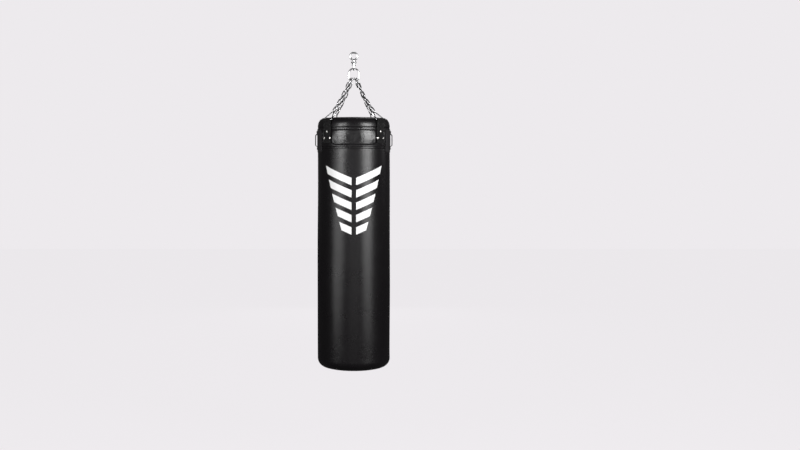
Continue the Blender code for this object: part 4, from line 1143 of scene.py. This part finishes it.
def makeUpperEye(v):
    # a ring and a stem that goes down through the stirrup's boss to its head under the bearing
    low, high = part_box("swivel_upper_eye")
    wire = v["eyeWire"]
    bore = high.x - 2 * wire
    centre = high.z - bore - 2 * wire
    ring = uprightWire(polar(bore + wire, circle(72), 0)[:, :2] + (0, centre), (1.0, 0, 0), wire, 24)
    neck = centre - bore - 2 * wire
    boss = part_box("swivel_lower_eye")[1].z + 0.0003
    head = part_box("swivel_thrust_bearing")[0].z - v["free"]
    heights = (neck + wire, neck + wire * 0.4, neck, boss + 0.0003, boss, boss, head, head, head - 0.0006,
               low.z + 0.002, low.z, low.z)
    stem = turned(v["stemRadii"], heights, 40)
    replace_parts(forged("swivelEye", (ring, stem), "hook_end", v), "swivel_upper_eye")


def makeStirrup(v):
    low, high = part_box("swivel_lower_eye")
    wire = v["stirrupWire"]
    half = high.y - wire
    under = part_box("swivel_thrust_bearing")[1].z + v["free"]
    path = roundedBox(-half, half, low.z + wire, (high.z + under) / 2, v["stirrupCorners"], 12, 0.0015)
    heights = (high.z, high.z, high.z - v["bossBevel"], under + v["bossBevel"], under, under)
    boss = turned(v["bossRadii"], heights, 40)
    loop = uprightWire(path, (0, 1.0, 0), wire)
    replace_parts(forged("swivelStirrup", (loop, boss), "swivel_body", v), "swivel_lower_eye")


def makeBearing(v):
    # two races with a ring of balls between them, round the stem
    low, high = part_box("swivel_thrust_bearing")
    outer, inner, tall = high.x, v["bearingBore"], high.z - low.z
    races = [roundedBox(inner, outer, z, z + tall * 0.3, 0.0003, 3) for z in (low.z, high.z - tall * 0.3)]
    tilt = column(np.linspace(0.2, np.pi - 0.2, 9))
    ball = tall * 0.26 * polar(np.sin(tilt), circle(16)[None, :], np.cos(tilt))
    centres = polar((outer + inner) / 2, circle(12), (low.z + high.z) / 2)
    races, balls = [turned(*race.T, 64, closedRing) for race in races], [capped(c + ball) for c in centres]
    piece = addPiece("thrustBearing", joinParts(*races, *balls), bearingSteel, "hook_end")
    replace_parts(piece, "swivel_thrust_bearing")


makeMaster(swivel)
makeUpperEye(swivel)
makeStirrup(swivel)
makeBearing(swivel)
print("master link and swivel made")


# Zip: cloth tape, two rows of meshing teeth, slider with its bridge, and the pull
zipper = {
    "toothPitch": 0.002,
    "toothWide": 0.0011,
    "toothLong": 0.0034,
    "teethLength": 0.214,
    "rowOff": 0.0011,  # each row of teeth from the middle line
    "toothDrop": 0.0008,  # from the node's top to the teeth's middle
    "tapeDrop": 0.0014,  # and to the tape
    "tapeRise": 0.0003,
    "mound": 0.0004,  # of the tape over its cord
    # a tooth's rings: share of its size, and height
    "rings": ((0.8, -0.0007), (1.0, -0.0005), (1.0, 0.0004), (0.7, 0.00075)),
}
slider = {
    "bridgeWire": 0.0009,
    "bridgeReach": 0.0039,
    "eyeHeight": 0.005,  # of the pull's eye, which the roof is set by
    "roofThick": 0.0014,
    "bevel": 0.0005,
    "wallBevel": 0.0003,
    # corners in shares of half its length and half its width, and their radii
    "nose": ((-1, 1, 0.0016), (0.2, 0.92, 0.004), (1, 0.66, 0.0012)),
    "wall": ((-0.95, 0.62, 0.0005), (0.9, 0.6, 0.0005), (0.6, 0.9, 0.0008), (-0.95, 0.97, 0.0005)),
}
pull = {
    "length": 0.03,
    "wide": 0.00425,  # half width
    "thick": 0.0008,  # half thickness
    "rim": 0.0009,  # from the eye's hole to the near end
    "eyeHalf": 0.0029,
    "eyeWide": 0.00245,
    # its section from the eye outwards: share of the way, and height in half thicknesses
    "section": ((0, -0.6), (0.06, -1), (0.94, -1), (1, -0.55), (1, 0.55), (0.94, 1), (0.8, 1), (0.74, 0.72),
                (0.3, 0.72), (0.22, 1), (0.06, 1), (0, 0.6)),
    "columns": 96,
}


def makeZip(v):
    low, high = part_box("lid_zip")
    x, y = column(np.linspace(low.x, high.x, 160)), np.linspace(low.y, high.y, 30)[None, :]
    rise = waves(50, 6, x * 60, y * 90) * v["tapeRise"] + v["mound"] * np.exp(-(y / 0.004) ** 2)
    top, under = (asPoints(x, y, z) for z in (high.z - v["tapeDrop"] + rise, low.z))
    piece = addPiece("zipTape", capped(np.concatenate((top, under[:, ::-1]), 1)), zipCloth)
    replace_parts(piece, "lid_zip")
    # each tooth: four rings of eight points, rounded in plan, nose towards the other row
    count = 2 * int(v["teethLength"] / v["toothPitch"])
    k = np.arange(count)
    alongZip = -v["teethLength"] / 2 + (k + 0.5) * v["toothPitch"] / 2
    centre = asPoints(alongZip, np.where(k % 2, -1, 1) * v["rowOff"], high.z - v["toothDrop"])
    ring = polar(1, circle(8), 0)[:, :2]
    ring = np.sign(ring) * np.abs(ring) ** 0.6 * (v["toothWide"] / 2, v["toothLong"] / 2)
    level = np.array(v["rings"])
    shape = asPoints(*(ring.T[:, None] * level[:, :1]), level[:, 1:])
    addPiece("zipTeeth", manyTubes(centre[:, None, None] + shape), zipAlloy)


def stacked(outlines, heights):
    # flat outlines, one above another, as rings of points
    return np.stack([asPoints(*flat.T, z) for flat, z in zip(outlines, heights)])


def platePart(outline, z0, z1, bevel):
    # a flat plate with rounded rims: the outline drawn in towards its middle at the top and bottom
    inset = np.array((0.9, 0.5, 0.12, 0, 0, 0.12, 0.5, 0.9))[:, None, None]
    heights = [z0, z0, z0 + bevel * 0.3, z0 + bevel, z1 - bevel, z1 - bevel * 0.3, z1, z1]
    return capped(stacked(outline - unit(outline - outline.mean(0)) * bevel * 2 * inset, heights))


def makeSlider(v):
    low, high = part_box("zip_slider")
    middle, half, wide, wire = (low.x + high.x) / 2, (high.x - low.x) / 2, high.y, v["bridgeWire"]
    roof = jointPlace("pull_tilt")[2] - (v["eyeHeight"] - 2 * wire) / 2

    def outline(spots, perCorner):  # corners in shares of the slider's half length and half width
        return roundedPath([(middle + half * x, wide * y, r) for x, y, r in spots], perCorner, 0.001)

    plan, wall = outline([(x, -y, r) for x, y, r in v["nose"]] + [*v["nose"]][::-1], 6), outline(v["wall"], 4)
    plates = [platePart(plan, roof - v["roofThick"], roof, v["bevel"])]
    plates += [platePart(wall * (1, s), low.z, roof - 0.0008, v["wallBevel"]) for s in (1, -1)]
    turn = np.linspace(0, np.pi, 20)
    foot = roof - 0.0006
    arch = asPoints(middle - v["bridgeReach"] * np.cos(turn), 0 * turn,
                    foot + (high.z - wire - foot) * np.sin(turn) ** 0.55)
    across = np.array((0, 1.0, 0))
    side = np.cross(unit(np.gradient(arch, axis=0)), across)[:, None]
    section = circle(12)[None, :, None]
    bridge = capped(arch[:, None] + wire * (side * np.cos(section) + across * np.sin(section) * 1.3))
    piece = addPiece("zipSlider", joinParts(*plates, bridge), zipAlloy, "slider")
    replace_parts(piece, "zip_slider")


def makePull(v):
    # flat tab round an eye, drawn about the eye's middle, then tilted as the frame's pull lies
    axis = jointPlace("pull_tilt")
    far = nodePoints("zip_pull")[:, 0].max()
    tilt = math.acos(min(1.0, (far - axis[0]) / math.hypot(v["length"], v["thick"])))
    ray = polar(1, circle(v["columns"]), 0)[:, :2]
    eye = (v["rim"] + v["eyeHalf"], 0)
    hole = ray / (np.abs(ray / (v["eyeHalf"], v["eyeWide"])) ** 5).sum(1, keepdims=True) ** 0.2 + eye
    t = np.linspace(0, 1, 200) * 0.04
    probe = ray[:, None] * t[:, None] + eye
    taper = v["wide"] * (0.86 + 0.14 * np.clip(probe[..., 0] / v["length"], 0, 1))
    mid, half = (v["length"] - v["rim"]) / 2, (v["length"] + v["rim"]) / 2
    inside = ((np.abs(probe[..., 1]) / taper) ** 6 + (np.abs(probe[..., 0] - mid) / half) ** 14) < 1
    outer = ray * column(t[np.minimum(inside.sum(1), 199)]) + eye
    rows = np.array(v["section"])
    local = stacked(hole + (outer - hole) * rows[:, :1, None], rows[:, 1] * v["thick"])
    tilted = local @ ((math.cos(tilt), 0, -math.sin(tilt)), (0, 1, 0), (math.sin(tilt), 0, math.cos(tilt)))
    piece = addPiece("zipPull", closedRing(tilted + axis * (1, 0, 1)), zipAlloy, "pull")
    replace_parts(piece, "zip_pull")


makeZip(zipper)
makeSlider(slider)
makePull(pull)
print("zip made")


# Studio: pale backdrop and floor, an upper and a lower soft light on each side in front, and dim fills
studio = {
    "pale": (0.847, 0.823, 0.847),
    "unlit": 0.05,  # of the pale colour, for what isn't seen straight from the camera
    "glow": 0.965,
    "floorGlow": 1.016,
    "mirrored": 0.03,  # how much of the pale colour metal and gloss see
    "floorMirrored": 0.02,
    "worldLight": 0.035,
    "floorZ": -1.95,
    "floorHalf": 14,
}
lamps = {
    # name: place, aim, size across and up, lean, watts
    "leftUpper": ((-2.0, -2.65, 0.16), (0, 0, -0.4), (1.2, 1.05), 12, 74),
    "rightUpper": ((2.2, -2.5, 0.16), (0, 0, -0.4), (1.65, 1.05), -12, 122),
    "leftLower": ((-2.6, -2.1, -0.97), (0, 0, -1.1), (1.7, 1.24), 8, 25),
    "rightLower": ((2.3, -2.45, -0.97), (0, 0, -1.1), (1.75, 1.24), -8, 29),
    "sideLight": ((3.2, 0.9, 0.2), (0, 0, -0.5), (0.6, 1.2), 0, 4),
    "frontFill": ((0.0, -5.6, -1.1), (0, 0, -0.9), (3.4, 1.5), 0, 20),
    "backFill": ((0.0, 5.6, -0.5), (0, 0, -0.8), (2.2, 2.2), 0, 42),
    "topFill": ((0.5, 2.2, 2.6), (0, 0, -0.3), (1.5, 1.5), 0, 26),
}


def raysSeen(tree):  # 1 for the camera's own rays, and 1 for glossy ones
    return [addNode(tree, "LightPath", output=ray) for ray in ("Is Camera Ray", "Is Glossy Ray")]


def makeFloor(v):
    # a wide flat floor, nearly its own pale colour to the camera and dim to other rays, clear from below
    side = v["floorHalf"]
    mesh = bpy.data.meshes.new("studioFloor")
    mesh.from_pydata([(x * side, y * side, v["floorZ"]) for x, y in ((-1, -1), (1, -1), (1, 1), (-1, 1))], [],
                     [(0, 1, 2, 3)])
    m = Finish("paleFloor")
    seen, glossy = raysSeen(m.tree)
    dim = [c * v["unlit"] for c in v["pale"]]
    m.surface(colour=m.blendColour(seen, dim, v["pale"]), roughness=0.9, specular=0.1)
    glow = m.node("Emission", Color=(*v["pale"], 1), Strength=v["floorGlow"])
    lit = m.node("MixShader", i0=seen * v["glow"] + glossy * v["floorMirrored"],
                 i1=Value(m.tree, m.shader.outputs[0]), i2=glow)
    clear = m.node("MixShader", i0=m.node("NewGeometry", output="Backfacing"), i1=lit,
                   i2=m.node("BsdfTransparent"))
    connect(m.tree, clear, m.tree.nodes["Material Output"].inputs[0])
    mesh.materials.append(m.material)
    newObject("studioFloor", mesh)


def makeLamps(entries):
    for name, (place, aim, size, lean, watts) in entries.items():
        data = bpy.data.lights.new(name, "AREA")
        data.shape = "RECTANGLE"
        data.size, data.size_y = size
        data.energy = watts
        lamp = newObject(name, data)
        lamp.location = place
        lamp.visible_camera = False
        turn = (Vector(aim) - Vector(place)).to_track_quat("-Z", "Y")
        lamp.rotation_euler = (turn @ Quaternion((0, 0, 1), math.radians(lean))).to_euler()


def makeWorld(v):
    # dim as a light, and the backdrop's pale colour where the camera sees it, part of it where metal does
    world = bpy.data.worlds.new("studioWorld")
    world.use_nodes = True
    tree = world.node_tree
    dim = tree.nodes["Background"]
    dim.inputs["Color"].default_value = (1, 0.99, 1, 1)
    dim.inputs["Strength"].default_value = v["worldLight"]
    bright = addNode(tree, "Background", Color=(*v["pale"], 1))
    seen, glossy = raysSeen(tree)
    mix = addNode(tree, "MixShader", i0=seen + glossy * v["mirrored"], i1=Value(tree, dim.outputs[0]),
                  i2=bright)
    connect(tree, mix, tree.nodes["World Output"].inputs[0])
    bpy.context.scene.world = world


makeFloor(studio)
makeLamps(lamps)
makeWorld(studio)
bpy.context.scene.view_settings.view_transform = "Standard"
print("studio made")
